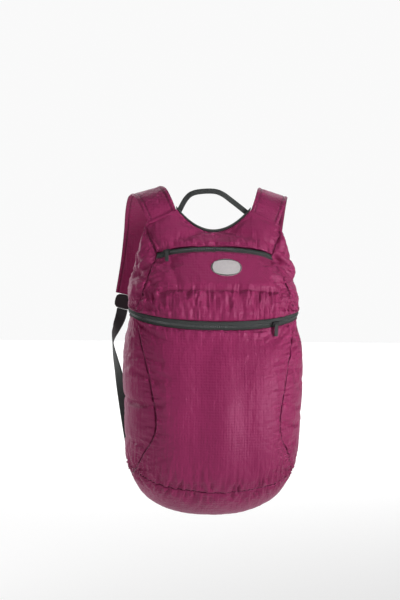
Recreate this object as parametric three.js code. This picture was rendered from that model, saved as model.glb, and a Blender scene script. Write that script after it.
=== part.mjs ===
import * as THREE from 'three';

// Overall sizes in millimetres: +X right, +Y the way the wearer faces, +Z up.
// The origin lies midway between the undersides of the two strap crests.
const PACK_DROP = 549; // from the top of the strap crests down to the base
const HALF_WIDTH = 150;
const DEPTH = 150; // from the back panel to the fullest part of the front
const SHOULDER_TO_BACK = 62; // from the strap crests back to the back panel
const REACH = 192; // from the back panel forward to the front of the straps

const CLOTH = 1.5;
const SEAM_GAP = 0.4;
const LAYER = CLOTH + 2 * SEAM_GAP; // keeps the front sheet off the back sheet at the top edge
const STRAP_WIDTH = 55;
const STRAP_THICKNESS = 3;
const BACK_BULGE = 7;

const ROUNDNESS = 0.85; // under 1 squares the level slices of the body
const LAYER_EDGE = 0.08; // share of the way round over which the layer closes at the back edges
const FOLD_FADE = 12; // power that holds the folds off the back edges

// Top edge: a scooped neckline between two sloping ears that carry the straps
const EAR_HALF = 0.77 * HALF_WIDTH;
const NECK_DROP = 0.128 * PACK_DROP;
const EAR_INNER_DROP = 0.057 * PACK_DROP;
const EAR_OUTER_DROP = 0.1 * PACK_DROP;
const NECK_COLUMNS = 8; // facets of the front sheet that lie along the scoop
const BINDING_WIDTH = 4;
const BINDING_THICKNESS = 6.4;

// Lines round the body from top to bottom: drops as shares of PACK_DROP at the back edge and
// in the middle, half width of HALF_WIDTH, depth of DEPTH; `curve` shapes the drop between,
// and past 90 degrees of `wrap` the sides come in again behind the widest place.
const LINES = [
  { name: 'top', side: 0.1, middle: 0.128, halfWidth: 0.77, depth: 0.01, curve: 2, wrap: 90 },
  { name: 'yoke', side: 0.163, middle: 0.152, halfWidth: 0.84, depth: 0.125, curve: 2, wrap: 95 },
  { name: 'pocketZipTop', side: 0.228, middle: 0.17, halfWidth: 0.895, depth: 0.24, curve: 2, wrap: 99 },
  { name: 'pocketZipFoot', side: 0.247, middle: 0.188, halfWidth: 0.915, depth: 0.29, curve: 2, wrap: 101 },
  { name: 'pocket', side: 0.283, middle: 0.245, halfWidth: 0.95, depth: 0.44, curve: 2, wrap: 103 },
  { name: 'pocketSeam', side: 0.317, middle: 0.3, halfWidth: 0.972, depth: 0.57, curve: 2, wrap: 105 },
  { name: 'zipTop', side: 0.357, middle: 0.392, halfWidth: 0.98, depth: 0.68, curve: 2, wrap: 105 },
  { name: 'zipFoot', side: 0.385, middle: 0.42, halfWidth: 0.955, depth: 0.675, curve: 2, wrap: 105 },
  { name: 'waist', side: 0.415, middle: 0.453, halfWidth: 0.955, depth: 0.71, curve: 2, wrap: 105 },
  { name: 'swell', side: 0.477, middle: 0.519, halfWidth: 0.993, depth: 0.83, curve: 2, wrap: 105 },
  { name: 'belly', side: 0.575, middle: 0.61, halfWidth: 1, depth: 0.95, curve: 2, wrap: 105 },
  { name: 'lowBelly', side: 0.69, middle: 0.729, halfWidth: 0.98, depth: 1, curve: 2, wrap: 105 },
  { name: 'foot', side: 0.774, middle: 0.832, halfWidth: 0.96, depth: 0.965, curve: 2, wrap: 104 },
  { name: 'baseSeam', side: 0.834, middle: 0.907, halfWidth: 0.947, depth: 0.84, curve: 1.8, wrap: 101 },
  { name: 'underside', side: 0.842, middle: 0.968, halfWidth: 0.93, depth: 0.6, curve: 1.4, wrap: 97 },
  { name: 'bottom', side: 0.849, middle: 1, halfWidth: 0.912, depth: 0.3, curve: 1.2, wrap: 93 },
  { name: 'rim', side: 0.856, middle: 0.99, halfWidth: 0.887, depth: 0, curve: 1.1, wrap: 90 },
];
const LINE = Object.fromEntries(LINES.map((line, index) => [line.name, index]));
const GUSSET_START = 1 / 3; // lines below the top edge where the upper side pieces begin

// Facets across the front pieces and the side pieces; neighbours share their seam points
const FRONT_COLUMNS = 22;
const SIDE_COLUMNS = 6;
const AROUND_COLUMNS = FRONT_COLUMNS + 2 * SIDE_COLUMNS;
const LINE_ROWS = 3; // facet rows between two lines above the main zip
const LOWER_ROWS = 15;
const BASE_ROWS = 7;
const BACK_COLUMNS = 18;
const BACK_ROWS = 18;
const ZIP_ROWS = 3;
const PATCH_FACETS = { across: 8, along: 4 };
const STRAP_FACETS = { across: 3, along: 32 };
const WEBBING_FACETS = { across: 2, along: 30 };
const LOOP_FACETS = { across: 2, along: 24 };
const CORNER_FACETS = 3;

// Side seams as the turn round the body, 0 in the middle and 1 at the back edge
const UPPER_SEAM = [
  { line: LINE.top, turn: 0.92 },
  { line: LINE.yoke, turn: 0.62 },
  { line: LINE.pocketZipTop, turn: 0.455 },
  { line: LINE.pocketZipFoot, turn: 0.445 },
  { line: LINE.pocket, turn: 0.49 },
  { line: LINE.pocketSeam, turn: 0.54 },
  { line: LINE.zipTop, turn: 0.64 },
];
const LOWER_SEAM = [
  { line: LINE.zipFoot, turn: 0.7 },
  { line: LINE.waist, turn: 0.62 },
  { line: LINE.swell, turn: 0.51 },
  { line: LINE.belly, turn: 0.425 },
  { line: LINE.lowBelly, turn: 0.395 },
  { line: LINE.foot, turn: 0.54 },
  { line: LINE.baseSeam, turn: 0.67 },
];

// Folds pressed into the cloth, seen from behind the pack: ends as shares of HALF_WIDTH and
// PACK_DROP, spread and depth as shares of DEPTH; a negative depth is a raised ridge.
const FOLDS = [
  { x1: 0.66, drop1: 0.2, x2: 0.96, drop2: 0.3, spread: 0.053, depth: 0.027 },
  { x1: 0.78, drop1: 0.2, x2: 0.98, drop2: 0.25, spread: 0.04, depth: -0.013 },
  { x1: -0.62, drop1: 0.2, x2: -0.94, drop2: 0.27, spread: 0.047, depth: 0.02 },
  { x1: -0.66, drop1: 0.26, x2: -0.96, drop2: 0.35, spread: 0.053, depth: 0.017 },
  { x1: 0.9, drop1: 0.42, x2: 0.86, drop2: 0.53, spread: 0.053, depth: 0.02 },
  { x1: -0.9, drop1: 0.42, x2: -0.82, drop2: 0.55, spread: 0.06, depth: 0.02 },
  { x1: -1, drop1: 0.635, x2: -0.88, drop2: 0.65, spread: 0.04, depth: 0.017 },
  { x1: -0.18, drop1: 0.5, x2: -0.3, drop2: 0.86, spread: 0.147, depth: 0.023 },
  { x1: 0.25, drop1: 0.55, x2: 0.36, drop2: 0.86, spread: 0.133, depth: 0.02 },
  { x1: 0.05, drop1: 0.66, x2: 0.02, drop2: 0.88, spread: 0.12, depth: -0.02 },
  { x1: -0.55, drop1: 0.33, x2: 0.3, drop2: 0.375, spread: 0.073, depth: -0.02 },
];

// Gathered bands, where seams pull the cloth into small upright waves: drop and reach as
// shares of PACK_DROP, half length and pitch of HALF_WIDTH, height of DEPTH
const GATHERS = [
  { drop: 0.34, reach: 0.035, halfLength: 0.62, pitch: 0.207, height: 0.0107 },
  { drop: 0.875, reach: 0.035, halfLength: 0.66, pitch: 0.18, height: 0.0093 },
];

// Right strap from the ear over the shoulder and down in front: shares of HALF_WIDTH, REACH
// and PACK_DROP; tilt in degrees lowers the outer edge; width as a share of STRAP_WIDTH.
const STRAP_PATH = [
  { x: 0.597, forward: 0, drop: 0.0755, tilt: 24, width: 0.96 },
  { x: 0.645, forward: 0.035, drop: 0.044, tilt: 22, width: 0.98 },
  { x: 0.7, forward: 0.15, drop: 0.012, tilt: 19, width: 0.99 },
  { x: 0.747, forward: 0.323, drop: 0.0027, tilt: 17, width: 1 },
  { x: 0.77, forward: 0.5, drop: 0.017, tilt: 15, width: 1 },
  { x: 0.785, forward: 0.68, drop: 0.066, tilt: 12, width: 0.98 },
  { x: 0.795, forward: 0.84, drop: 0.145, tilt: 9, width: 0.94 },
  { x: 0.835, forward: 0.955, drop: 0.245, tilt: 4, width: 0.86 },
  { x: 0.92, forward: 0.975, drop: 0.35, tilt: -3, width: 0.7 },
];

// Webbing from the strap buckle round under the arm to the lower corner of the back panel;
// facing is the way its flat side looks, in degrees from +X towards +Y.
const WEBBING_WIDTH = 20;
const WEBBING_PATH = [
  { x: 0.959, forward: 0.984, drop: 0.3983, facing: 88, width: 1 },
  { x: 0.987, forward: 0.976, drop: 0.43, facing: 80, width: 1 },
  { x: 1.045, forward: 0.88, drop: 0.462, facing: 55, width: 1 },
  { x: 1.09, forward: 0.7, drop: 0.485, facing: 28, width: 1 },
  { x: 1.095, forward: 0.46, drop: 0.517, facing: -5, width: 1 },
  { x: 1.05, forward: 0.24, drop: 0.58, facing: -38, width: 1 },
  { x: 0.99, forward: 0.09, drop: 0.665, facing: -68, width: 1 },
  { x: 0.93, forward: 0.032, drop: 0.76, facing: -86, width: 1 },
  { x: 0.89, forward: 0.024, drop: 0.82, facing: -90, width: 1 },
];

// Soft grab loop, sewn behind the binding at both ears; it leans to the left as it lies
const LOOP_WIDTH = 9;
const LOOP_PATH = [
  { x: -0.4, forward: 0.0209, drop: 0.068, width: 1 },
  { x: -0.315, forward: 0.015, drop: 0.025, width: 1 },
  { x: -0.225, forward: -0.012, drop: 0.006, width: 1 },
  { x: -0.04, forward: -0.022, drop: 0, width: 1 },
  { x: 0.085, forward: -0.018, drop: 0.007, width: 1 },
  { x: 0.23, forward: 0.015, drop: 0.033, width: 1 },
  { x: 0.4, forward: 0.0209, drop: 0.068, width: 1 },
];

const LOOP_LEAN = 0.075; // of its height, towards the wearer
const LOOP_FOCUS = 0.15 * PACK_DROP; // below the origin, where the loop's flat side looks away from

const SIDES = [['left', -1], ['right', 1]];

const COIL_SHARE = 0.4; // of the tape's width
const COIL_HEIGHT = 1;

const PATCH = { halfLength: 0.175 * HALF_WIDTH, halfHeight: 0.0925 * HALF_WIDTH, roundness: 0.5 };
const PATCH_X = 0.107 * HALF_WIDTH;
const PATCH_DROP = 0.2315 * PACK_DROP;
const MAIN_SLIDER_X = 0.647 * HALF_WIDTH;
const POCKET_SLIDER_X = -0.547 * HALF_WIDTH;
const SLIDER_CLEARANCE = 0.7; // over the facets of the tape
const SLIDER = { width: 8, length: 12, height: 3.2 };
const PULL = { width: 6, length: 20, height: 1.6, clearance: 2.5 };
const BUCKLE = { width: 34, length: 26, height: 4 };
const CORNER_SHARE = 0.3; // of a bar's width

// Steps for directions taken from the surface and the paths, and for the search on the surface
const SKIN_STEP = 0.01;
const PATH_STEP = 0.05;
const SEARCH = { passes: 12, splits: 24 };

const clothMaterial = new THREE.MeshStandardMaterial({ color: 0x862f58, roughness: 0.55, metalness: 0 });
const tapeMaterial = new THREE.MeshStandardMaterial({ color: 0x2d3130, roughness: 0.75, metalness: 0 });
const plasticMaterial = new THREE.MeshStandardMaterial({ color: 0x1e2020, roughness: 0.45, metalness: 0 });
const labelMaterial = new THREE.MeshStandardMaterial({ color: 0xc9c2bd, roughness: 0.7, metalness: 0 });

const lerp = THREE.MathUtils.lerp;
const clamp = THREE.MathUtils.clamp;

// Smooth curve through evenly spaced values, read at a fractional index
function smoothValue(rows, key, at) {
  const index = clamp(Math.floor(at), 0, rows.length - 2);
  const t = at - index;
  const p1 = rows[index][key];
  const p2 = rows[index + 1][key];
  const p0 = index > 0 ? rows[index - 1][key] : 2 * p1 - p2;
  const p3 = index + 2 < rows.length ? rows[index + 2][key] : 2 * p2 - p1;
  const slope1 = (p2 - p0) / 2;
  const slope2 = (p3 - p1) / 2;
  const rise = p2 - p1;
  const square = 3 * rise - 2 * slope1 - slope2;
  const cube = slope1 + slope2 - 2 * rise;
  return p1 + slope1 * t + square * t ** 2 + cube * t ** 3;
}

// Turn of a side seam at one line of the body
function seamTurn(seam, line) {
  return smoothValue(seam, 'turn', line - seam[0].line);
}

function softPower(value) {
  return Math.sign(value) * Math.abs(value) ** ROUNDNESS;
}

// Level slice of the body: share of the half width and share of the depth at one turn
function slice(turn, wrap) {
  const whole = THREE.MathUtils.degToRad(wrap);
  const behind = -softPower(Math.cos(whole));
  return {
    side: softPower(Math.sin(turn * whole)),
    front: (softPower(Math.cos(turn * whole)) + behind) / (1 + behind),
  };
}

// Half width of the scoop, which ends on a facet edge of the front sheet
const NECK_TURN = (NECK_COLUMNS / FRONT_COLUMNS) * UPPER_SEAM[0].turn;
const NECK_HALF = EAR_HALF * slice(NECK_TURN, LINES[LINE.top].wrap).side;

// Drop of the top edge: the scoop between the ears, then the sloping strap seams
function topDrop(x) {
  const away = Math.abs(x);
  if (away < NECK_HALF) {
    return lerp(NECK_DROP, EAR_INNER_DROP, (away / NECK_HALF) ** 2);
  }
  return lerp(EAR_INNER_DROP, EAR_OUTER_DROP, (away - NECK_HALF) / (EAR_HALF - NECK_HALF));
}

// Unfolded outer surface at a turn round the body and a line down it
function bareSkin(turn, line) {
  const along = clamp(line, 0, LINE.rim);
  const { side, front } = slice(turn, smoothValue(LINES, 'wrap', along));
  const sideDrop = smoothValue(LINES, 'side', along);
  const middleDrop = smoothValue(LINES, 'middle', along);
  const rise = front ** smoothValue(LINES, 'curve', along);
  let drop = PACK_DROP * lerp(sideDrop, middleDrop, rise);
  if (along < LINE.pocketZipTop) {
    const top = LINES[LINE.top];
    const plainTop = PACK_DROP * lerp(top.side, top.middle, front ** top.curve);
    const fade = 1 - along / LINE.pocketZipTop;
    drop += fade * (topDrop(EAR_HALF * side) - plainTop);
  }
  const layer = LAYER * Math.min(1, (1 - Math.abs(turn)) / LAYER_EDGE);
  const depth = DEPTH * smoothValue(LINES, 'depth', along) * front + layer;
  const x = HALF_WIDTH * smoothValue(LINES, 'halfWidth', along) * side;
  return new THREE.Vector3(x, -SHOULDER_TO_BACK - depth, STRAP_THICKNESS - drop);
}

function skinNormal(turn, line) {
  const right = bareSkin(Math.min(turn + SKIN_STEP, 1), line);
  const left = bareSkin(Math.max(turn - SKIN_STEP, -1), line);
  const below = bareSkin(turn, Math.min(line + SKIN_STEP, LINE.rim));
  const above = bareSkin(turn, Math.max(line - SKIN_STEP, 0));
  return below.sub(above).cross(right.sub(left)).normalize();
}

// Distance in the rear view from a point to a straight fold
function foldDistance(fold, x, drop) {
  const x1 = fold.x1 * HALF_WIDTH;
  const drop1 = fold.drop1 * PACK_DROP;
  const dx = fold.x2 * HALF_WIDTH - x1;
  const dDrop = fold.drop2 * PACK_DROP - drop1;
  const t = clamp(((x - x1) * dx + (drop - drop1) * dDrop) / (dx * dx + dDrop * dDrop), 0, 1);
  return Math.hypot(x - x1 - t * dx, drop - drop1 - t * dDrop);
}

// How far the folds and gathers lift the cloth at one point
function relief(point) {
  const drop = STRAP_THICKNESS - point.z;
  let lift = 0;
  for (const fold of FOLDS) {
    const away = foldDistance(fold, point.x, drop) / (fold.spread * DEPTH);
    lift -= fold.depth * DEPTH * Math.exp(-away * away);
  }
  for (const band of GATHERS) {
    const away = (drop - band.drop * PACK_DROP) / (band.reach * PACK_DROP);
    const along = Math.max(0, 1 - (point.x / (band.halfLength * HALF_WIDTH)) ** 4);
    const wave = Math.sin((2 * Math.PI * point.x) / (band.pitch * HALF_WIDTH));
    lift += band.height * DEPTH * along * Math.exp(-away * away) * wave;
  }
  return lift;
}

// Point on the folded surface, raised by a distance along its outward direction
function skin(turn, line, raise = 0) {
  const point = bareSkin(turn, line);
  const inside = 1 - Math.abs(turn) ** FOLD_FADE;
  return point.addScaledVector(skinNormal(turn, line), raise + inside * relief(point));
}

// Turn at which one line of the body reaches a given x
function turnAt(x, line) {
  const share = Math.abs(x) / (HALF_WIDTH * smoothValue(LINES, 'halfWidth', line));
  const angle = Math.asin(share ** (1 / ROUNDNESS));
  return (Math.sign(x) * angle) / THREE.MathUtils.degToRad(smoothValue(LINES, 'wrap', line));
}

// Turn and line of the surface point at a given x and drop
function locate(x, drop) {
  let turn = 0;
  let line = LINE.pocket;
  for (let pass = 0; pass < SEARCH.passes; pass += 1) {
    turn = turnAt(x, line);
    let low = 0;
    let high = LINE.baseSeam;
    for (let split = 0; split < SEARCH.splits; split += 1) {
      line = (low + high) / 2;
      if (STRAP_THICKNESS - bareSkin(turn, line).z < drop) {
        low = line;
      } else {
        high = line;
      }
    }
  }
  return { turn, line };
}

function makeGrid(columns, rows, place) {
  const grid = [];
  for (let i = 0; i <= columns; i += 1) {
    grid.push([]);
    for (let j = 0; j <= rows; j += 1) {
      grid[i].push(place(i / columns, j / rows));
    }
  }
  return grid;
}

function moveTowards(point, target, distance) {
  point.addScaledVector(target.clone().sub(point).normalize(), distance);
}

// Draws the four edges of a grid in, which leaves a seam gap to its neighbours
function drawIn(grid, distance) {
  const lastColumn = grid.length - 1;
  const lastRow = grid[0].length - 1;
  for (let j = 0; j <= lastRow; j += 1) {
    moveTowards(grid[0][j], grid[1][j], distance);
    moveTowards(grid[lastColumn][j], grid[lastColumn - 1][j], distance);
  }
  for (let i = 0; i <= lastColumn; i += 1) {
    moveTowards(grid[i][0], grid[i][1], distance);
    moveTowards(grid[i][lastRow], grid[i][lastRow - 1], distance);
  }
}

function signedVolume(points, index) {
  let volume = 0;
  for (let i = 0; i < index.length; i += 3) {
    volume += points[index[i]].dot(points[index[i + 1]].clone().cross(points[index[i + 2]])) / 6;
  }
  return volume;
}

// Closed wall between an outer and an inner grid of points
function wallGeometry(outer, inner) {
  const columns = outer.length - 1;
  const rows = outer[0].length - 1;
  const points = [...outer.flat(), ...inner.flat()];
  const half = points.length / 2;
  const at = (i, j) => i * (rows + 1) + j;
  const index = [];
  const quad = (a, b, c, d) => index.push(a, b, c, a, c, d);
  for (let i = 0; i < columns; i += 1) {
    for (let j = 0; j < rows; j += 1) {
      quad(at(i, j), at(i, j + 1), at(i + 1, j + 1), at(i + 1, j));
      quad(half + at(i, j), half + at(i + 1, j), half + at(i + 1, j + 1), half + at(i, j + 1));
    }
  }
  for (let i = 0; i < columns; i += 1) {
    quad(at(i, 0), at(i + 1, 0), half + at(i + 1, 0), half + at(i, 0));
    quad(at(i + 1, rows), at(i, rows), half + at(i, rows), half + at(i + 1, rows));
  }
  for (let j = 0; j < rows; j += 1) {
    quad(at(0, j + 1), at(0, j), half + at(0, j), half + at(0, j + 1));
    quad(at(columns, j), at(columns, j + 1), half + at(columns, j + 1), half + at(columns, j));
  }
  if (signedVolume(points, index) < 0) {
    index.reverse();
  }
  const geometry = new THREE.BufferGeometry();
  const places = points.flatMap((point) => point.toArray());
  geometry.setAttribute('position', new THREE.Float32BufferAttribute(places, 3));
  geometry.setIndex(index);
  geometry.computeVertexNormals();
  return geometry;
}

function addPiece(group, name, geometry, material) {
  const mesh = new THREE.Mesh(geometry, material);
  mesh.name = name;
  group.add(mesh);
}

// Piece of the body's skin; `spot` turns the shares across and down into a turn and a line
function skinPiece(group, name, material, columns, rows, spot, raise = () => 0) {
  const face = (inward) => makeGrid(columns, rows, (a, b) => {
    const { turn, line } = spot(a, b);
    return skin(turn, line, raise(b) - inward);
  });
  const outer = face(0);
  const inner = face(CLOTH);
  drawIn(outer, SEAM_GAP / 2);
  drawIn(inner, SEAM_GAP / 2);
  addPiece(group, name, wallGeometry(outer, inner), material);
}

// Turn at a share of the way round the body, with facets that meet those of the side seams
function turnAround(a, seam) {
  const column = a * AROUND_COLUMNS;
  if (column < SIDE_COLUMNS) {
    return lerp(-1, -seam, column / SIDE_COLUMNS);
  }
  if (column > SIDE_COLUMNS + FRONT_COLUMNS) {
    return lerp(seam, 1, (column - SIDE_COLUMNS - FRONT_COLUMNS) / SIDE_COLUMNS);
  }
  return lerp(-seam, seam, (column - SIDE_COLUMNS) / FRONT_COLUMNS);
}

function addFrontPieces(group) {
  const pocketRows = LINE_ROWS * (LINE.zipTop - LINE.pocketZipFoot);
  const addFront = (name, seam, from, to, rows) => {
    const spot = (a, b) => {
      const line = lerp(from, to, b);
      return { turn: (2 * a - 1) * seamTurn(seam, line), line };
    };
    skinPiece(group, name, clothMaterial, FRONT_COLUMNS, rows, spot);
  };
  addFront('yoke_panel', UPPER_SEAM, LINE.top, LINE.pocketZipTop, LINE_ROWS * LINE.pocketZipTop);
  addFront('pocket_panel', UPPER_SEAM, LINE.pocketZipFoot, LINE.zipTop, pocketRows);
  addFront('lower_front_panel', LOWER_SEAM, LINE.zipFoot, LINE.baseSeam, LOWER_ROWS);
}

function addSidePieces(group) {
  const addSide = (name, hand, seam, from, to, rows) => {
    const spot = (a, b) => {
      const line = lerp(from, to, b);
      const share = hand > 0 ? a : 1 - a;
      return { turn: hand * lerp(seamTurn(seam, line), 1, share), line };
    };
    skinPiece(group, name, clothMaterial, SIDE_COLUMNS, rows, spot);
  };
  for (const [word, hand] of SIDES) {
    const upperRows = Math.round(LINE_ROWS * (LINE.zipTop - GUSSET_START));
    addSide(`upper_side_${word}`, hand, UPPER_SEAM, GUSSET_START, LINE.zipTop, upperRows);
    addSide(`lower_side_${word}`, hand, LOWER_SEAM, LINE.zipFoot, LINE.baseSeam, LOWER_ROWS);
  }
}

function addBasePanel(group) {
  const seam = seamTurn(LOWER_SEAM, LINE.baseSeam);
  const spot = (a, b) => ({ turn: turnAround(a, seam), line: lerp(LINE.baseSeam, LINE.rim, b) });
  skinPiece(group, 'base_panel', clothMaterial, AROUND_COLUMNS, BASE_ROWS, spot);
}

// Turn at a share of the way across the back sheet, whose scoop has the binding's facets
function turnAcrossBack(share) {
  const column = share * BACK_COLUMNS;
  const earColumns = (BACK_COLUMNS - NECK_COLUMNS) / 2;
  if (column < earColumns) {
    return lerp(-1, -NECK_TURN, column / earColumns);
  }
  if (column > earColumns + NECK_COLUMNS) {
    return lerp(NECK_TURN, 1, (column - earColumns - NECK_COLUMNS) / earColumns);
  }
  return lerp(-NECK_TURN, NECK_TURN, (column - earColumns) / NECK_COLUMNS);
}

// Sheet against the wearer's back, filled in between the edges of all the other pieces
function addBackPanel(group) {
  const edge = (turn, line) => bareSkin(turn, line).setY(0);
  const place = (share, b) => {
    const turn = turnAcrossBack(share);
    const a = (turn + 1) / 2;
    const point = edge(turn, 0).multiplyScalar(1 - b);
    point.addScaledVector(edge(turn, LINE.rim), b);
    point.addScaledVector(edge(-1, b * LINE.rim), 1 - a);
    point.addScaledVector(edge(1, b * LINE.rim), a);
    point.addScaledVector(edge(-1, 0), -(1 - a) * (1 - b));
    point.addScaledVector(edge(1, 0), -a * (1 - b));
    point.addScaledVector(edge(-1, LINE.rim), -(1 - a) * b);
    point.addScaledVector(edge(1, LINE.rim), -a * b);
    const across = slice(turn, LINES[LINE.top].wrap).side;
    const bulge = BACK_BULGE * 4 * b * (1 - b) * (1 - across * across);
    return point.setY(-SHOULDER_TO_BACK + SEAM_GAP / 2 + bulge);
  };
  const front = makeGrid(BACK_COLUMNS, BACK_ROWS, place);
  drawIn(front, SEAM_GAP / 2);
  const wall = new THREE.Vector3(0, CLOTH, 0);
  const back = front.map((column) => column.map((point) => point.clone().add(wall)));
  addPiece(group, 'back_panel', wallGeometry(front, back), clothMaterial);
}

// Closed zip: flat tape with a raised coil along its middle
function addZips(group) {
  const coil = (b) => (Math.abs(2 * b - 1) < COIL_SHARE ? 0 : -COIL_HEIGHT);
  const mainSpot = (a, b) => {
    const seam = lerp(seamTurn(UPPER_SEAM, LINE.zipTop), seamTurn(LOWER_SEAM, LINE.zipFoot), b);
    return { turn: turnAround(a, seam), line: lerp(LINE.zipTop, LINE.zipFoot, b) };
  };
  const pocketSpot = (a, b) => {
    const line = lerp(LINE.pocketZipTop, LINE.pocketZipFoot, b);
    return { turn: (2 * a - 1) * seamTurn(UPPER_SEAM, line), line };
  };
  skinPiece(group, 'main_zip_tape', tapeMaterial, AROUND_COLUMNS, ZIP_ROWS, mainSpot, coil);
  skinPiece(group, 'pocket_zip_tape', tapeMaterial, FRONT_COLUMNS, ZIP_ROWS, pocketSpot, coil);
}

function roundedBar(width, length, height) {
  const shape = new THREE.Shape();
  const radius = CORNER_SHARE * width;
  shape.moveTo(-width / 2 + radius, -length / 2);
  shape.lineTo(width / 2 - radius, -length / 2);
  shape.quadraticCurveTo(width / 2, -length / 2, width / 2, -length / 2 + radius);
  shape.lineTo(width / 2, length / 2 - radius);
  shape.quadraticCurveTo(width / 2, length / 2, width / 2 - radius, length / 2);
  shape.lineTo(-width / 2 + radius, length / 2);
  shape.quadraticCurveTo(-width / 2, length / 2, -width / 2, length / 2 - radius);
  shape.lineTo(-width / 2, -length / 2 + radius);
  shape.quadraticCurveTo(-width / 2, -length / 2, -width / 2 + radius, -length / 2);
  const options = { depth: height, bevelEnabled: false, curveSegments: CORNER_FACETS };
  return new THREE.ExtrudeGeometry(shape, options);
}

// Slider on a zip and the soft pull that hangs from it
function addSlider(group, name, line, x) {
  const turn = turnAt(x, line);
  const out = skinNormal(turn, line);
  const along = skin(turn + SKIN_STEP, line).sub(skin(turn - SKIN_STEP, line)).normalize();
  const up = out.clone().cross(along);
  const seat = skin(turn, line, SLIDER_CLEARANCE);
  const slider = roundedBar(SLIDER.width, SLIDER.length, SLIDER.height);
  const frame = new THREE.Matrix4().makeBasis(up.clone().negate(), along, out);
  slider.applyMatrix4(frame.setPosition(seat));
  addPiece(group, `${name}_slider`, slider, plasticMaterial);
  const top = seat.clone().addScaledVector(out, SLIDER.height + SEAM_GAP);
  const below = locate(seat.x, STRAP_THICKNESS - seat.z + PULL.length);
  const foot = skin(below.turn, below.line, PULL.clearance);
  const pullUp = top.clone().sub(foot).normalize();
  const pullAcross = along.clone().addScaledVector(pullUp, -along.dot(pullUp)).normalize();
  const pullOut = pullAcross.clone().cross(pullUp);
  const pull = roundedBar(PULL.width, PULL.length, PULL.height);
  top.addScaledVector(pullUp, -PULL.length / 2);
  const pullFrame = new THREE.Matrix4().makeBasis(pullAcross, pullUp, pullOut);
  pull.applyMatrix4(pullFrame.setPosition(top));
  addPiece(group, `${name}_pull`, pull, tapeMaterial);
}

// Plain oval label, sewn on the pocket
function addPatch(group) {
  const face = (raise) => makeGrid(PATCH_FACETS.across, PATCH_FACETS.along, (a, b) => {
    const s = 2 * a - 1;
    const t = 2 * b - 1;
    const x = PATCH_X + PATCH.halfLength * s * Math.sqrt(1 - PATCH.roundness * t * t);
    const drop = PATCH_DROP + PATCH.halfHeight * t * Math.sqrt(1 - PATCH.roundness * s * s);
    const { turn, line } = locate(x, drop);
    return skin(turn, line, raise);
  });
  const patch = wallGeometry(face(2 * SEAM_GAP + CLOTH), face(2 * SEAM_GAP));
  addPiece(group, 'label_patch', patch, labelMaterial);
}

// Point on a strap path, in millimetres
function pathPoint(path, at) {
  return new THREE.Vector3(
    HALF_WIDTH * smoothValue(path, 'x', at),
    REACH * smoothValue(path, 'forward', at) - SHOULDER_TO_BACK,
    STRAP_THICKNESS - PACK_DROP * smoothValue(path, 'drop', at),
  );
}

// Flat band that follows a path; `flat` gives the direction across it at one place
function band(path, width, thickness, facets, flat) {
  const end = path.length - 1;
  const face = (raise) => makeGrid(facets.across, facets.along, (a, b) => {
    const at = b * end;
    const behind = pathPoint(path, Math.max(at - PATH_STEP, 0));
    const ahead = pathPoint(path, Math.min(at + PATH_STEP, end)).sub(behind).normalize();
    const across = flat(at, ahead);
    across.addScaledVector(ahead, -across.dot(ahead)).normalize();
    const out = across.clone().cross(ahead).normalize();
    const point = pathPoint(path, at);
    point.addScaledVector(across, (a - 0.5) * width * smoothValue(path, 'width', at));
    return point.addScaledVector(out, raise);
  });
  return wallGeometry(face(thickness / 2), face(-thickness / 2));
}

function mirrored(geometry) {
  const copy = geometry.clone().applyMatrix4(new THREE.Matrix4().makeScale(-1, 1, 1));
  copy.setIndex([...copy.getIndex().array].reverse());
  copy.computeVertexNormals();
  return copy;
}

function tilted(path) {
  return (at) => {
    const tilt = THREE.MathUtils.degToRad(smoothValue(path, 'tilt', at));
    return new THREE.Vector3(Math.cos(tilt), 0, -Math.sin(tilt));
  };
}

function facing(path) {
  return (at, ahead) => {
    const angle = THREE.MathUtils.degToRad(smoothValue(path, 'facing', at));
    return ahead.clone().cross(new THREE.Vector3(Math.cos(angle), Math.sin(angle), 0));
  };
}

function addStraps(group) {
  const strap = band(STRAP_PATH, STRAP_WIDTH, STRAP_THICKNESS, STRAP_FACETS, tilted(STRAP_PATH));
  const webbing = band(WEBBING_PATH, WEBBING_WIDTH, CLOTH, WEBBING_FACETS, facing(WEBBING_PATH));
  addPiece(group, 'shoulder_strap_right', strap, clothMaterial);
  addPiece(group, 'shoulder_strap_left', mirrored(strap), clothMaterial);
  addPiece(group, 'strap_webbing_right', webbing, tapeMaterial);
  addPiece(group, 'strap_webbing_left', mirrored(webbing), tapeMaterial);
}

function addGrabLoop(group) {
  const flat = (at) => {
    const point = pathPoint(LOOP_PATH, at);
    return new THREE.Vector3(point.x, LOOP_LEAN * LOOP_FOCUS, LOOP_FOCUS);
  };
  const loop = band(LOOP_PATH, LOOP_WIDTH, CLOTH, LOOP_FACETS, flat);
  addPiece(group, 'grab_loop', loop, tapeMaterial);
}

// Bound edge along the scooped neckline
function addBinding(group) {
  const middle = -SHOULDER_TO_BACK + (CLOTH - LAYER) / 2;
  const face = (height) => makeGrid(NECK_COLUMNS, 1, (a, b) => {
    const x = EAR_HALF * slice((2 * a - 1) * NECK_TURN, LINES[LINE.top].wrap).side;
    const y = middle + BINDING_THICKNESS * (b - 0.5);
    return new THREE.Vector3(x, y, STRAP_THICKNESS - topDrop(x) + SEAM_GAP + height);
  });
  const top = face(BINDING_WIDTH);
  const foot = face(0);
  drawIn(top, SEAM_GAP / 2);
  drawIn(foot, SEAM_GAP / 2);
  addPiece(group, 'neckline_binding', wallGeometry(top, foot), tapeMaterial);
}

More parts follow.
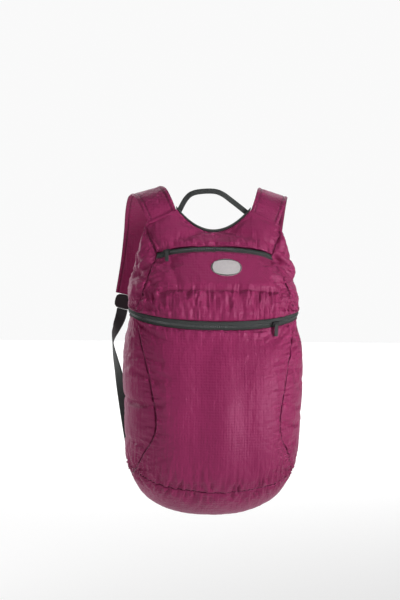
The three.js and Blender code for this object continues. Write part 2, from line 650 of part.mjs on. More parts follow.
// Strap buckles, one plain piece each, between strap and webbing
function addBuckles(group) {
  for (const [word, hand] of SIDES) {
    const mirror = new THREE.Vector3(hand, 1, 1);
    const end = pathPoint(STRAP_PATH, STRAP_PATH.length - 1).multiply(mirror);
    const start = pathPoint(WEBBING_PATH, 0).multiply(mirror);
    const ahead = start.clone().sub(end).normalize();
    const across = new THREE.Vector3(hand, 0, 0);
    across.addScaledVector(ahead, -across.dot(ahead)).normalize();
    const out = across.clone().cross(ahead);
    const middle = end.clone().lerp(start, 0.5).addScaledVector(out, -BUCKLE.height / 2);
    const buckle = roundedBar(BUCKLE.width, BUCKLE.length, BUCKLE.height);
    const frame = new THREE.Matrix4().makeBasis(across, ahead, out);
    buckle.applyMatrix4(frame.setPosition(middle));
    addPiece(group, `strap_buckle_${word}`, buckle, plasticMaterial);
  }
}

const pack = new THREE.Group();
pack.name = 'packable_backpack';
addFrontPieces(pack);
addSidePieces(pack);
addBasePanel(pack);
addBackPanel(pack);
addZips(pack);
addSlider(pack, 'main_zip', (LINE.zipTop + LINE.zipFoot) / 2, MAIN_SLIDER_X);
addSlider(pack, 'pocket_zip', (LINE.pocketZipTop + LINE.pocketZipFoot) / 2, POCKET_SLIDER_X);
addPatch(pack);
addBinding(pack);
addGrabLoop(pack);
addStraps(pack);
addBuckles(pack);

export default pack;
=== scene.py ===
"""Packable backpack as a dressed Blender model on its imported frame.

The cloth body is one sheet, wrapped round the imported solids, puffed and puckered by a cloth
simulation and then cut along its seams. Lengths in the tables are shares of the named sizes.
"""

import math

import bmesh
import bpy
from bpy.props import FloatProperty, FloatVectorProperty, IntProperty, PointerProperty
from mathutils import Matrix, Vector, noise
from mathutils.bvhtree import BVHTree


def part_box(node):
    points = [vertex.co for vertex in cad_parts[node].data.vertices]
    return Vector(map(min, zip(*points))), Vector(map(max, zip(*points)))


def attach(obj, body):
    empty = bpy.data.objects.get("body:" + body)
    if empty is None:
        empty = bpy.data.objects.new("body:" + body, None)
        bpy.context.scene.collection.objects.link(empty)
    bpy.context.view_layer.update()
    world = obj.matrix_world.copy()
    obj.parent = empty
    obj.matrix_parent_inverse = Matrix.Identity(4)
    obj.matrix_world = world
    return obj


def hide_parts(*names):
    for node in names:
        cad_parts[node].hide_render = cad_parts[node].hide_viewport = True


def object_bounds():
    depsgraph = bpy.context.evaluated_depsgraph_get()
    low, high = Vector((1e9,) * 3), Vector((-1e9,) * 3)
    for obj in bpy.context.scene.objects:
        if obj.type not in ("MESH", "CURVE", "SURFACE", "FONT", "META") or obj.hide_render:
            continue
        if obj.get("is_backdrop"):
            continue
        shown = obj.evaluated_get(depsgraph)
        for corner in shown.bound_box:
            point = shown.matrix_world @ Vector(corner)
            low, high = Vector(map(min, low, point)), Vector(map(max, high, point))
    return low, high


bl_info = {
    "name": "Packable Backpack",
    "version": (1, 0, 0),
    "blender": (4, 5, 0),
    "location": "View3D > Sidebar > Backpack",
    "description": "Builds a worn packable backpack from a few sizes and colours",
    "category": "Add Mesh",
}

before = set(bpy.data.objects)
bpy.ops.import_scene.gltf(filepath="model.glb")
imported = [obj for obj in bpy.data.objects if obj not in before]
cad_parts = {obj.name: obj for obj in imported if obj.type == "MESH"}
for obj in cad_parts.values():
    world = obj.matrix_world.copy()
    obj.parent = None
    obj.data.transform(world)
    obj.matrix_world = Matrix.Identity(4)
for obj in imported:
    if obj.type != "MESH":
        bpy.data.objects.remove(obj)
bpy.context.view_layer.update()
BODY = "root"
MM = 0.001

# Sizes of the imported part, in millimetres
PACK_DROP = 549
HALF_WIDTH = 150
DEPTH = 150
SHOULDER_TO_BACK = 62
REACH = 192
CLOTH = 1.5
SEAM_GAP = 0.4
LAYER = CLOTH + 2 * SEAM_GAP
STRAP_WIDTH = 55
STRAP_THICKNESS = 3
BACK_BULGE = 7
ROUNDNESS = 0.85
LAYER_EDGE = 0.08
FOLD_FADE = 12
EAR_HALF = 0.77 * HALF_WIDTH
NECK_DROP = 0.128 * PACK_DROP
EAR_INNER_DROP = 0.057 * PACK_DROP
EAR_OUTER_DROP = 0.1 * PACK_DROP
NECK_TURN = 0.3345
FLAT_WRAP = 90

# Lines round the body: drop at the back edge and in the middle, half width, depth, the
# curve of the drop between, and the wrap behind the widest place in degrees
LINE_NAMES = (
    "top", "yoke", "pocket_zip_top", "pocket_zip_foot", "pocket", "pocket_seam", "zip_top",
    "zip_foot", "waist", "swell", "belly", "low_belly", "foot", "base_seam", "underside",
    "bottom", "rim",
)
LINE = {name: index for index, name in enumerate(LINE_NAMES)}
LINES = {
    "side": (0.1, 0.163, 0.228, 0.247, 0.283, 0.317, 0.357, 0.385, 0.415, 0.477, 0.575, 0.69,
             0.774, 0.834, 0.842, 0.849, 0.856),
    "middle": (0.128, 0.152, 0.17, 0.188, 0.245, 0.3, 0.392, 0.42, 0.453, 0.519, 0.61, 0.729,
               0.832, 0.907, 0.968, 1.0, 0.99),
    "half_width": (0.77, 0.84, 0.895, 0.915, 0.95, 0.972, 0.98, 0.955, 0.955, 0.993, 1.0, 0.98,
                   0.96, 0.947, 0.93, 0.912, 0.887),
    "depth": (0.01, 0.125, 0.24, 0.29, 0.44, 0.57, 0.68, 0.675, 0.71, 0.83, 0.95, 1.0,
              0.965, 0.84, 0.6, 0.3, 0.0),
    "curve": (2, 2, 2, 2, 2, 2, 2, 2, 2, 2, 2, 2, 2, 1.8, 1.4, 1.2, 1.1),
    "wrap": (90, 95, 99, 101, 103, 105, 105, 105, 105, 105, 105, 105, 104, 101, 97, 93, 90),
}
UPPER_SEAM = (0.92, 0.62, 0.455, 0.445, 0.49, 0.54, 0.64)
LOWER_SEAM = (0.7, 0.62, 0.51, 0.425, 0.395, 0.54, 0.67)
GUSSET_START = 1 / 3

# Folds in the cloth, seen from behind the pack: ends, spread and depth in millimetres
FOLDS = (
    {"x1": 0.66, "drop1": 0.2, "x2": 0.96, "drop2": 0.3, "spread": 8, "depth": 4},
    {"x1": 0.78, "drop1": 0.2, "x2": 0.98, "drop2": 0.25, "spread": 6, "depth": -2},
    {"x1": -0.62, "drop1": 0.2, "x2": -0.94, "drop2": 0.27, "spread": 7, "depth": 3},
    {"x1": -0.66, "drop1": 0.26, "x2": -0.96, "drop2": 0.35, "spread": 8, "depth": 2.5},
    {"x1": 0.9, "drop1": 0.42, "x2": 0.86, "drop2": 0.53, "spread": 8, "depth": 3},
    {"x1": -0.9, "drop1": 0.42, "x2": -0.82, "drop2": 0.55, "spread": 9, "depth": 3},
    {"x1": -1, "drop1": 0.635, "x2": -0.88, "drop2": 0.65, "spread": 6, "depth": 2.5},
    {"x1": -0.18, "drop1": 0.5, "x2": -0.3, "drop2": 0.86, "spread": 22, "depth": 3.5},
    {"x1": 0.25, "drop1": 0.55, "x2": 0.36, "drop2": 0.86, "spread": 20, "depth": 3},
    {"x1": 0.05, "drop1": 0.66, "x2": 0.02, "drop2": 0.88, "spread": 18, "depth": -3},
    {"x1": -0.55, "drop1": 0.33, "x2": 0.3, "drop2": 0.375, "spread": 11, "depth": -3},
)

# How many spreads away a fold still counts, and the step at which slopes are taken
FOLD_REACH = 3
SLOPE_STEP = 0.01

# Creases that only the finished cloth has, measured as the folds are
CREASES = (
    {"x1": 0.7, "drop1": 0.204, "x2": 0.99, "drop2": 0.289, "spread": 4, "depth": 5.2},
    {"x1": 0.79, "drop1": 0.154, "x2": 0.95, "drop2": 0.244, "spread": 5, "depth": -3.5},
    {"x1": 0.64, "drop1": 0.267, "x2": 0.95, "drop2": 0.348, "spread": 5, "depth": 3.2},
    {"x1": 0.49, "drop1": 0.136, "x2": 0.72, "drop2": 0.166, "spread": 4, "depth": 2.3},
    {"x1": 0.83, "drop1": 0.11, "x2": 0.88, "drop2": 0.188, "spread": 4, "depth": 2.6},
    {"x1": -0.74, "drop1": 0.133, "x2": -0.57, "drop2": 0.197, "spread": 4.5, "depth": 3.2},
    {"x1": -0.85, "drop1": 0.2, "x2": -0.67, "drop2": 0.24, "spread": 5, "depth": -2.9},
    {"x1": -0.91, "drop1": 0.251, "x2": -0.7, "drop2": 0.285, "spread": 4.5, "depth": 3.5},
    {"x1": -0.91, "drop1": 0.311, "x2": -0.6, "drop2": 0.341, "spread": 5, "depth": 3.2},
    {"x1": -0.55, "drop1": 0.196, "x2": -0.44, "drop2": 0.285, "spread": 6, "depth": 2.3},
    {"x1": -0.41, "drop1": 0.148, "x2": -0.17, "drop2": 0.166, "spread": 4, "depth": 1.7},
    {"x1": -0.95, "drop1": 0.647, "x2": -0.64, "drop2": 0.643, "spread": 4, "depth": 3.2},
    {"x1": -0.91, "drop1": 0.548, "x2": -0.69, "drop2": 0.571, "spread": 4.5, "depth": 2.6},
    {"x1": -0.86, "drop1": 0.498, "x2": -0.64, "drop2": 0.519, "spread": 4.5, "depth": 2.6},
    {"x1": -0.97, "drop1": 0.762, "x2": -0.74, "drop2": 0.77, "spread": 5, "depth": 2.3},
    {"x1": 0.76, "drop1": 0.636, "x2": 0.95, "drop2": 0.657, "spread": 4, "depth": 2.9},
    {"x1": 0.75, "drop1": 0.696, "x2": 0.92, "drop2": 0.71, "spread": 4, "depth": 2.9},
    {"x1": 0.72, "drop1": 0.746, "x2": 0.88, "drop2": 0.765, "spread": 4, "depth": 2.6},
    {"x1": 0.85, "drop1": 0.441, "x2": 0.97, "drop2": 0.503, "spread": 4, "depth": -2.6},
    {"x1": 0.8, "drop1": 0.517, "x2": 0.96, "drop2": 0.596, "spread": 5, "depth": 2.6},
)

# Right strap, webbing and grab loop: shares of HALF_WIDTH, REACH and PACK_DROP, tilt or
# facing in degrees and width as a share of the band's own
STRAP_PATH = {
    "start": -0.3,
    "x": (0.597, 0.645, 0.7, 0.747, 0.77, 0.785, 0.795, 0.835, 0.92),
    "forward": (0, 0.035, 0.15, 0.323, 0.5, 0.68, 0.84, 0.955, 0.975),
    "drop": (0.0755, 0.044, 0.012, 0.0027, 0.017, 0.066, 0.145, 0.245, 0.35),
    "tilt": (24, 22, 19, 17, 15, 12, 9, 4, -3),
    "width": (0.96, 0.98, 0.99, 1, 1, 0.98, 0.94, 0.86, 0.7),
}
WEBBING_WIDTH = 20
WEBBING_PATH = {
    "x": (0.959, 0.987, 1.045, 1.09, 1.095, 1.05, 0.99, 0.93, 0.89),
    "forward": (0.984, 0.976, 0.88, 0.7, 0.46, 0.24, 0.09, 0.032, 0.024),
    "drop": (0.3983, 0.43, 0.462, 0.485, 0.517, 0.58, 0.665, 0.76, 0.82),
    "facing": (88, 80, 55, 28, -5, -38, -68, -86, -90),
    "width": (1, 1, 1, 1, 1, 1, 1, 1, 1),
}
LOOP_WIDTH = 9
LOOP_LEAN = 0.075
LOOP_FOCUS = 0.15 * PACK_DROP
LOOP_PATH = {
    "x": (-0.4, -0.315, -0.225, -0.04, 0.085, 0.23, 0.4),
    "forward": (0.0209, 0.015, -0.012, -0.022, -0.018, 0.015, 0.0209),
    "drop": (0.068, 0.025, 0.006, 0, 0.007, 0.033, 0.068),
    "width": (1, 1, 1, 1, 1, 1, 1),
}

# Seams across the body: how far puckers reach above and below them, the pitch and height of
# the puckers, how deep the stitching draws the cloth in, and the part of the front they cross
ROW_SEAMS = (
    {"line": LINE["pocket_zip_top"], "above": 15, "below": 1, "pitch": 7, "height": 3,
     "pinch": 0.0, "within": 1.0},
    {"line": LINE["pocket_zip_foot"], "above": 1, "below": 11, "pitch": 7, "height": 1.2,
     "pinch": 0.0, "within": 1.0},
    {"line": LINE["pocket_seam"], "above": 4, "below": 36, "pitch": 6.5, "height": 6,
     "pinch": 0.25, "within": 1.0},
    {"line": LINE["zip_top"], "above": 26, "below": 1, "pitch": 7, "height": 2.8,
     "pinch": 0.0, "within": 9.0},
    {"line": LINE["zip_foot"], "above": 1, "below": 16, "pitch": 7.5, "height": 2,
     "pinch": 0.0, "within": 9.0},
    {"line": LINE["base_seam"], "above": 26, "below": 24, "pitch": 6, "height": 6,
     "pinch": 1.7, "within": 9.0},
)
ROW_SEED = 3.7
ROW_PUCKER_LENGTH = 34
SIDE_SEAM = {"reach": 20, "pitch": 7, "length": 36, "height": 3.6, "pinch": 1.2, "seed": 11.0}
BACK_SEAM = {"reach": 16, "pitch": 9, "length": 30, "height": 2.0, "seed": 29.0}
PANEL_SEAM = {"height": 1.6, "seed": 17.0}
LAP = {"height": 0.9, "inset": 2.6, "spread": 1.7}

# Half width of a line of stitches, how far it holds the cloth flat, the same at the back
# edge, and the weakest pucker worth working out
STITCHED = 1.1
STITCH_GRIP = 2.5
EDGE_GRIP = 3
LEAST_PUCKER = 0.02

# Make-up of one crease: its ridges beside its soft waves
CREASE = {"across": 1.7, "along": 1.4, "apart": 5.3, "level": 0.32, "soft": 0.9, "sharp": 1.5}

# Crinkles all over the cloth: size across and along in millimetres, seed, and strength above
# and below the main zip
CRINKLE = {
    "broad": {"across": 44, "along": 60, "seed": 3.0, "above": 2.0, "below": 0.8},
    "fine": {"across": 17, "along": 30, "seed": 8.0, "above": 1.3, "below": 0.3},
    "strained": {"across": 6.5, "along": 85, "seed": 13.0, "above": 0.0, "below": 0.45},
}
CRINKLE_LEVEL = 0.3
CRINKLE_SLANT = 0.45
SIDE_LOOSENESS = 1.5

# Places where the crinkles fade out, in lines of the body and as a rate round it
TOP_FADE = 0.3
RIM_FADE = 0.5
EDGE_FADE = 12


class BackpackSizes(bpy.types.PropertyGroup):
    """Sizes that shape the cloth"""

    cell: FloatProperty(
        name="Cloth cell", description="Width of one cell of the cloth before smoothing",
        default=3.5 * MM, min=2 * MM, unit="LENGTH")
    spare: FloatProperty(
        name="Spare cloth", description="How much larger the cloth is cut than its solid",
        default=0.03, min=0.0, max=0.1, subtype="FACTOR")
    pressure: FloatProperty(
        name="Pressure", description="Push of the load against the cloth", default=1.6, min=0.0)
    room: FloatProperty(
        name="Room to puff", description="How far inside its place the cloth starts",
        default=3.0 * MM, min=0.0, unit="LENGTH")
    most_move: FloatProperty(
        name="Most movement", description="Cap on how far the simulation may move a point",
        default=7.0 * MM, min=0.0, unit="LENGTH")
    crinkle: FloatProperty(
        name="Crinkle", description="Height of the soft creases all over the cloth",
        default=0.9 * MM, min=0.0, unit="LENGTH")
    steps: IntProperty(
        name="Cloth steps", description="Frames of the cloth simulation", default=26, min=1)


class BackpackColours(bpy.types.PropertyGroup):
    """Colours of the materials"""

    cloth: FloatVectorProperty(
        name="Cloth", description="Glossy thin nylon", subtype="COLOR", size=3,
        default=(0.255, 0.018, 0.087), min=0, max=1)
    tape: FloatVectorProperty(
        name="Tape", description="Zip tape, binding, loop and webbing", subtype="COLOR", size=3,
        default=(0.03, 0.034, 0.033), min=0, max=1)
    plastic: FloatVectorProperty(
        name="Plastic", description="Sliders and buckles", subtype="COLOR", size=3,
        default=(0.015, 0.015, 0.016), min=0, max=1)
    label: FloatVectorProperty(
        name="Label", description="Sewn label", subtype="COLOR", size=3,
        default=(0.6, 0.56, 0.57), min=0, max=1)


class BackpackStage(bpy.types.PropertyGroup):
    """Camera and light"""

    azimuth: FloatProperty(
        name="Azimuth", description="Side the camera stands on, from straight behind the pack",
        default=math.radians(-6), subtype="ANGLE")
    elevation: FloatProperty(
        name="Elevation", description="Height of the camera above the level", subtype="ANGLE",
        default=math.radians(4))
    roll: FloatProperty(
        name="Roll", description="Turn of the picture", default=math.radians(1), subtype="ANGLE")
    distance: FloatProperty(
        name="Distance", description="From the camera to the pack", default=2.6, unit="LENGTH")
    view_height: FloatProperty(
        name="View height", description="Height of the view at the pack", default=1.02,
        unit="LENGTH")


def clamp(value, low, high):
    return max(low, min(high, value))


def lerp(start, end, share):
    return start + (end - start) * share


def soft_power(value):
    return math.copysign(abs(value) ** ROUNDNESS, value)


def smooth_value(values, at):
    """Smooth curve through evenly spaced values, read at a fractional index."""
    index = int(clamp(math.floor(at), 0, len(values) - 2))
    t = at - index
    first, second = values[index], values[index + 1]
    before = values[index - 1] if index > 0 else 2 * first - second
    after = values[index + 2] if index + 2 < len(values) else 2 * second - first
    slope_1 = (second - before) / 2
    slope_2 = (after - first) / 2
    rise = second - first
    return (first + slope_1 * t + (3 * rise - 2 * slope_1 - slope_2) * t * t
            + (slope_1 + slope_2 - 2 * rise) * t ** 3)


def seam_turn(line):
    """Turn of the side seam at a line, eased across the main zip."""
    if line <= LINE["zip_top"]:
        return smooth_value(UPPER_SEAM, line)
    if line >= LINE["zip_foot"]:
        return smooth_value(LOWER_SEAM, line - LINE["zip_foot"])
    return lerp(UPPER_SEAM[-1], LOWER_SEAM[0], line - LINE["zip_top"])


def level_slice(turn, wrap):
    whole = math.radians(wrap)
    behind = -soft_power(math.cos(whole))
    side = soft_power(math.sin(turn * whole))
    front = (soft_power(math.cos(turn * whole)) + behind) / (1 + behind)
    return side, max(front, 0.0)


NECK_HALF = EAR_HALF * level_slice(NECK_TURN, FLAT_WRAP)[0]


def top_drop(x):
    """Drop of the top edge: the scoop between the ears, then the sloping strap seams."""
    away = abs(x)
    if away < NECK_HALF:
        return lerp(NECK_DROP, EAR_INNER_DROP, (away / NECK_HALF) ** 2)
    return lerp(EAR_INNER_DROP, EAR_OUTER_DROP, (away - NECK_HALF) / (EAR_HALF - NECK_HALF))


def bare_skin(turn, line):
    """Unfolded outer surface, in millimetres."""
    along = clamp(line, 0, LINE["rim"])
    side, front = level_slice(turn, smooth_value(LINES["wrap"], along))
    rise = front ** smooth_value(LINES["curve"], along)
    drop = PACK_DROP * lerp(
        smooth_value(LINES["side"], along), smooth_value(LINES["middle"], along), rise)
    if along < LINE["pocket_zip_top"]:
        plain_top = PACK_DROP * lerp(LINES["side"][0], LINES["middle"][0], front ** 2)
        drop += (1 - along / LINE["pocket_zip_top"]) * (top_drop(EAR_HALF * side) - plain_top)
    layer = LAYER * min(1, (1 - abs(turn)) / LAYER_EDGE)
    depth = DEPTH * smooth_value(LINES["depth"], along) * front + layer
    x = HALF_WIDTH * smooth_value(LINES["half_width"], along) * side
    return Vector((x, -SHOULDER_TO_BACK - depth, STRAP_THICKNESS - drop))


def skin_normal(turn, line):
    step = SLOPE_STEP
    across = bare_skin(min(turn + step, 1), line) - bare_skin(max(turn - step, -1), line)
    down = (bare_skin(turn, min(line + step, LINE["rim"]))
            - bare_skin(turn, max(line - step, 0)))
    return down.cross(across).normalized()


def fold_distance(fold, x, drop):
    start = Vector((fold["x1"] * HALF_WIDTH, fold["drop1"] * PACK_DROP))
    run = Vector((fold["x2"] * HALF_WIDTH, fold["drop2"] * PACK_DROP)) - start
    there = Vector((x, drop)) - start
    return (there - run * clamp(there.dot(run) / run.dot(run), 0, 1)).length


def relief(point, folds=FOLDS):
    """Lift of the cloth by its folds at one point."""
    drop = STRAP_THICKNESS - point.z
    lift = 0.0
    for fold in folds:
        away = fold_distance(fold, point.x, drop) / fold["spread"]
        if away < FOLD_REACH:
            lift -= fold["depth"] * math.exp(-away ** 2)
    return lift


def skin(turn, line, raised=0.0):
    """Point on the folded surface in metres, raised by some millimetres."""
    point = bare_skin(turn, line)
    inside = 1 - abs(turn) ** FOLD_FADE
    return (point + skin_normal(turn, line) * (raised + inside * relief(point))) * MM


def girths():
    """Half girth of the body at each line, in millimetres."""
    steps = 40
    table = []
    for line in range(LINE["rim"] + 1):
        points = [bare_skin(step / steps, line) for step in range(steps + 1)]
        table.append(sum((b - a).length for a, b in zip(points, points[1:])))
    return table


def runs():
    """Way down the middle of the front to each line, in millimetres."""
    table = [0.0]
    for line in range(LINE["rim"]):
        table.append(table[-1] + (bare_skin(0, line + 1) - bare_skin(0, line)).length)
    return table


GIRTHS = girths()
RUNS = runs()


def crease(u, v, seed):
    """Soft waves with a few sharp ridges among them, from about -1 to 1."""
    soft = noise.noise(Vector((u, v, seed)))
    place = Vector((CREASE["across"] * u, CREASE["along"] * v, seed + CREASE["apart"]))
    sharp = CREASE["level"] - abs(noise.noise(place))
    return CREASE["soft"] * soft + CREASE["sharp"] * sharp


def lapped(away):
    """Edge of the upper cloth, which stands up a little beside its seam."""
    return LAP["height"] * math.exp(-((away + LAP["inset"]) / LAP["spread"]) ** 2)


def beside_seam(away, reach, grip):
    """How much a seam puckers the cloth at a distance: nothing on the seam itself."""
    return math.exp(-abs(away) / reach) * (1 - math.exp(-abs(away) / grip))


def on_stitches(away):
    return math.exp(-(away / STITCHED) ** 2)


def row_puckers(turn, down, girth, seam):
    """Lift beside the seams across the body, and how near the nearest of them is."""
    lift = 0.0
    stitched = 0.0
    for row in ROW_SEAMS:
        if abs(turn) > seam * row["within"]:
            continue
        away = down - smooth_value(RUNS, row["line"])
        near = beside_seam(away, row["below"] if away > 0 else row["above"], STITCH_GRIP)
        if near > LEAST_PUCKER:
            wave = crease(turn * girth / row["pitch"], down / ROW_PUCKER_LENGTH,
                          row["line"] * ROW_SEED)
            lift += row["height"] * near * wave
        if row["pinch"]:
            lift += lapped(away) - row["pinch"] * on_stitches(away)
            # How deep the stitching draws the cloth in also sets how much painted shade the seam
            # gets
            stitched = max(stitched, on_stitches(away) * row["pinch"] / SIDE_SEAM["pinch"])
    return lift, stitched


def side_puckers(turn, line, down, girth, seam):
    """Lift beside a side seam, and how near it is."""
    if line < GUSSET_START or LINE["zip_top"] < line < LINE["zip_foot"]:
        return 0.0, 0.0
    beside = (abs(turn) - seam) * girth
    lift = lapped(beside) - SIDE_SEAM["pinch"] * on_stitches(beside)
    near = beside_seam(beside, SIDE_SEAM["reach"], STITCH_GRIP)
    if near > LEAST_PUCKER:
        wave = crease(down / SIDE_SEAM["pitch"], beside / SIDE_SEAM["length"],
                      math.copysign(SIDE_SEAM["seed"], turn))
        lift += SIDE_SEAM["height"] * near * wave
    return lift, on_stitches(beside)


def edge_puckers(along, edge, height, seed):
    """Lift beside the seam at the back edge."""
    near = beside_seam(edge, BACK_SEAM["reach"], EDGE_GRIP)
    return height * near * crease(along / BACK_SEAM["pitch"], edge / BACK_SEAM["length"], seed)


def seam_puckers(turn, line):
    """Lift of the finished cloth beside its seams, in millimetres, and how near a seam is."""
    down = smooth_value(RUNS, line)
    girth = smooth_value(GIRTHS, line)
    seam = seam_turn(line)
    row_lift, on_row = row_puckers(turn, down, girth, seam)
    side_lift, on_side = side_puckers(turn, line, down, girth, seam)
    lift = row_lift + side_lift
    edge = (1 - abs(turn)) * girth
    if beside_seam(edge, BACK_SEAM["reach"], EDGE_GRIP) > LEAST_PUCKER:
        lift += edge_puckers(down, edge, BACK_SEAM["height"], BACK_SEAM["seed"])
    return lift, max(on_row, on_side)


def crinkle_wave(kind, across, along):
    size = CRINKLE[kind]
    return noise.noise(Vector((across / size["across"], along / size["along"], size["seed"])))


def crinkle(turn, line):
    """Creases all over the cloth, from about -1 to 1, weaker where the load stretches it."""
    down = smooth_value(RUNS, line)
    around = turn * smooth_value(GIRTHS, line)
    slanted = around + CRINKLE_SLANT * down * math.copysign(1, turn)
    waves = {
        "broad": CRINKLE_LEVEL - abs(crinkle_wave("broad", slanted, down)),
        "fine": CRINKLE_LEVEL - abs(crinkle_wave("fine", slanted, down)),
        "strained": crinkle_wave("strained", around, down),
    }
    part = "above" if line < LINE["zip_top"] else "below"
    total = sum(CRINKLE[kind][part] * wave for kind, wave in waves.items())
    on_side = part == "above" and abs(turn) > seam_turn(line)
    return total * (SIDE_LOOSENESS if on_side else 1.0)


def path_point(path, at):
    """Point on a strap path, in metres."""
    return Vector((
        HALF_WIDTH * smooth_value(path["x"], at),
        REACH * smooth_value(path["forward"], at) - SHOULDER_TO_BACK,
        STRAP_THICKNESS - PACK_DROP * smooth_value(path["drop"], at),
    )) * MM


def grid_bmesh(columns, rows, place):
    """Grid of cells whose vertices `place` moves; its first UV layer holds the shares."""
    bm = bmesh.new()
    bmesh.ops.create_grid(bm, x_segments=columns, y_segments=rows, size=0.5)
    shares = bm.loops.layers.uv.new("shares")
    for face in bm.faces:
        for loop in face.loops:
            loop[shares].uv = (loop.vert.co.x + 0.5, 0.5 - loop.vert.co.y)
    for vert in bm.verts:
        vert.co = place(vert.co.x + 0.5, 0.5 - vert.co.y)
    return bm


def object_from(bm, name, smooth=True):
    mesh = bpy.data.meshes.new(name)
    bm.to_mesh(mesh)
    bm.free()
    if smooth:
        mesh.polygons.foreach_set("use_smooth", [True] * len(mesh.polygons))
    obj = bpy.data.objects.new(name, mesh)
    bpy.context.scene.collection.objects.link(obj)
    return obj


def finish_piece(obj, slot, material, *nodes):
    """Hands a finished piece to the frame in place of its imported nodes."""
    obj.data.materials.clear()
    obj.data.materials.append(material)
    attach(obj, BODY)
    if nodes:
        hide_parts(*nodes)


def thicken(obj, thickness):
    """Wall behind a finished cloth surface."""
    modifier = obj.modifiers.new("Wall", "SOLIDIFY")
    modifier.thickness = thickness
    modifier.offset = -1
    modifier.use_even_offset = False


def face_outwards(bm):
    bmesh.ops.recalc_face_normals(bm, faces=bm.faces)


def baked(obj):
    """Mesh of an object with its modifiers applied, after which the object is removed."""
    graph = bpy.context.evaluated_depsgraph_get()
    mesh = bpy.data.meshes.new_from_object(obj.evaluated_get(graph))
    old = obj.data
    bpy.data.objects.remove(obj)
    bpy.data.meshes.remove(old)
    return mesh


# Scale of Blender's wave texture times its pitch, and how much a weave wanders
WAVE_RATE = 0.314
WEAVE_WANDER = 0.4


def new_material(name):
    material = bpy.data.materials.new(name)
    material.use_nodes = True
    tree = material.node_tree
    shader = tree.nodes["Principled BSDF"]
    return material, tree, shader


def add_node(tree, kind, **values):
    node = tree.nodes.new(kind)
    for key, value in values.items():
        setattr(node, key, value)
    return node


def noise_node(tree, vector, scale, detail=2.0, roughness=0.5):
    node = add_node(tree, "ShaderNodeTexNoise")
    node.inputs["Scale"].default_value = scale
    node.inputs["Detail"].default_value = detail
    node.inputs["Roughness"].default_value = roughness
    tree.links.new(vector, node.inputs["Vector"])
    return node


def bump_node(tree, height, strength, distance, before=None):
    node = add_node(tree, "ShaderNodeBump")
    node.inputs["Strength"].default_value = strength
    node.inputs["Distance"].default_value = distance
    tree.links.new(height, node.inputs["Height"])
    if before:
        tree.links.new(before.outputs["Normal"], node.inputs["Normal"])
    return node


def math_node(tree, operation, *values):
    """Sum or the like of sockets and plain numbers."""
    node = add_node(tree, "ShaderNodeMath", operation=operation)
    for socket, value in zip(node.inputs, values):
        if isinstance(value, float):
            socket.default_value = value
        else:
            tree.links.new(value, socket)
    return node.outputs["Value"]


def range_node(tree, value, low, high):
    """Stretches a value from 0 to 1 to another range."""
    node = add_node(tree, "ShaderNodeMapRange")
    node.inputs["To Min"].default_value = low
    node.inputs["To Max"].default_value = high
    tree.links.new(value, node.inputs["Value"])
    return node.outputs["Result"]


def mix_colours(tree, factor, first, second):
    node = add_node(tree, "ShaderNodeMix", data_type="RGBA")
    tree.links.new(factor, node.inputs["Factor"])
    node.inputs["A"].default_value = (*first, 1)
    node.inputs["B"].default_value = (*second, 1)
    return node.outputs["Result"]


def weave_height(tree, vector, pitch):
    """Height of a fine plain weave from two crossed waves."""
    waves = []
    for direction in ("X", "Z"):
        wave = add_node(tree, "ShaderNodeTexWave", bands_direction=direction)
        wave.inputs["Scale"].default_value = WAVE_RATE / pitch
        wave.inputs["Distortion"].default_value = WEAVE_WANDER
        tree.links.new(vector, wave.inputs["Vector"])
        waves.append(wave.outputs["Fac"])
    return math_node(tree, "ADD", *waves)


def scaled(colour, factor):
    return tuple(min(1.0, channel * factor) for channel in colour)


def object_place(tree):
    return add_node(tree, "ShaderNodeTexCoord").outputs["Object"]


def mottle(tree, shader, where, colour, dark, light, **grain):
    """Lets the base colour wander between two shades of a colour; returns the grain."""
    grains = noise_node(tree, where, **grain).outputs["Fac"]
    base = mix_colours(tree, grains, scaled(colour, dark), scaled(colour, light))
    tree.links.new(base, shader.inputs["Base Color"])
    return grains


def paint_seam_shade(tree, shader, colour):
    """Mixes painted shade into the base colour where the attribute says seam: painted shade in the
    seam groove and a darker stitch line.
    """
    base = shader.inputs["Base Color"].links[0].from_socket
    seam = add_node(tree, "ShaderNodeAttribute", attribute_name="seam")
    shaded = add_node(tree, "ShaderNodeMix", data_type="RGBA")
    tree.links.new(seam.outputs["Fac"], shaded.inputs["Factor"])
    tree.links.new(base, shaded.inputs["A"])
    # Painted seam shade and stitch line: the cloth colour at 0.42 of itself
    shaded.inputs["B"].default_value = (*scaled(colour, 0.42), 1)
    tree.links.new(shaded.outputs["Result"], shader.inputs["Base Color"])


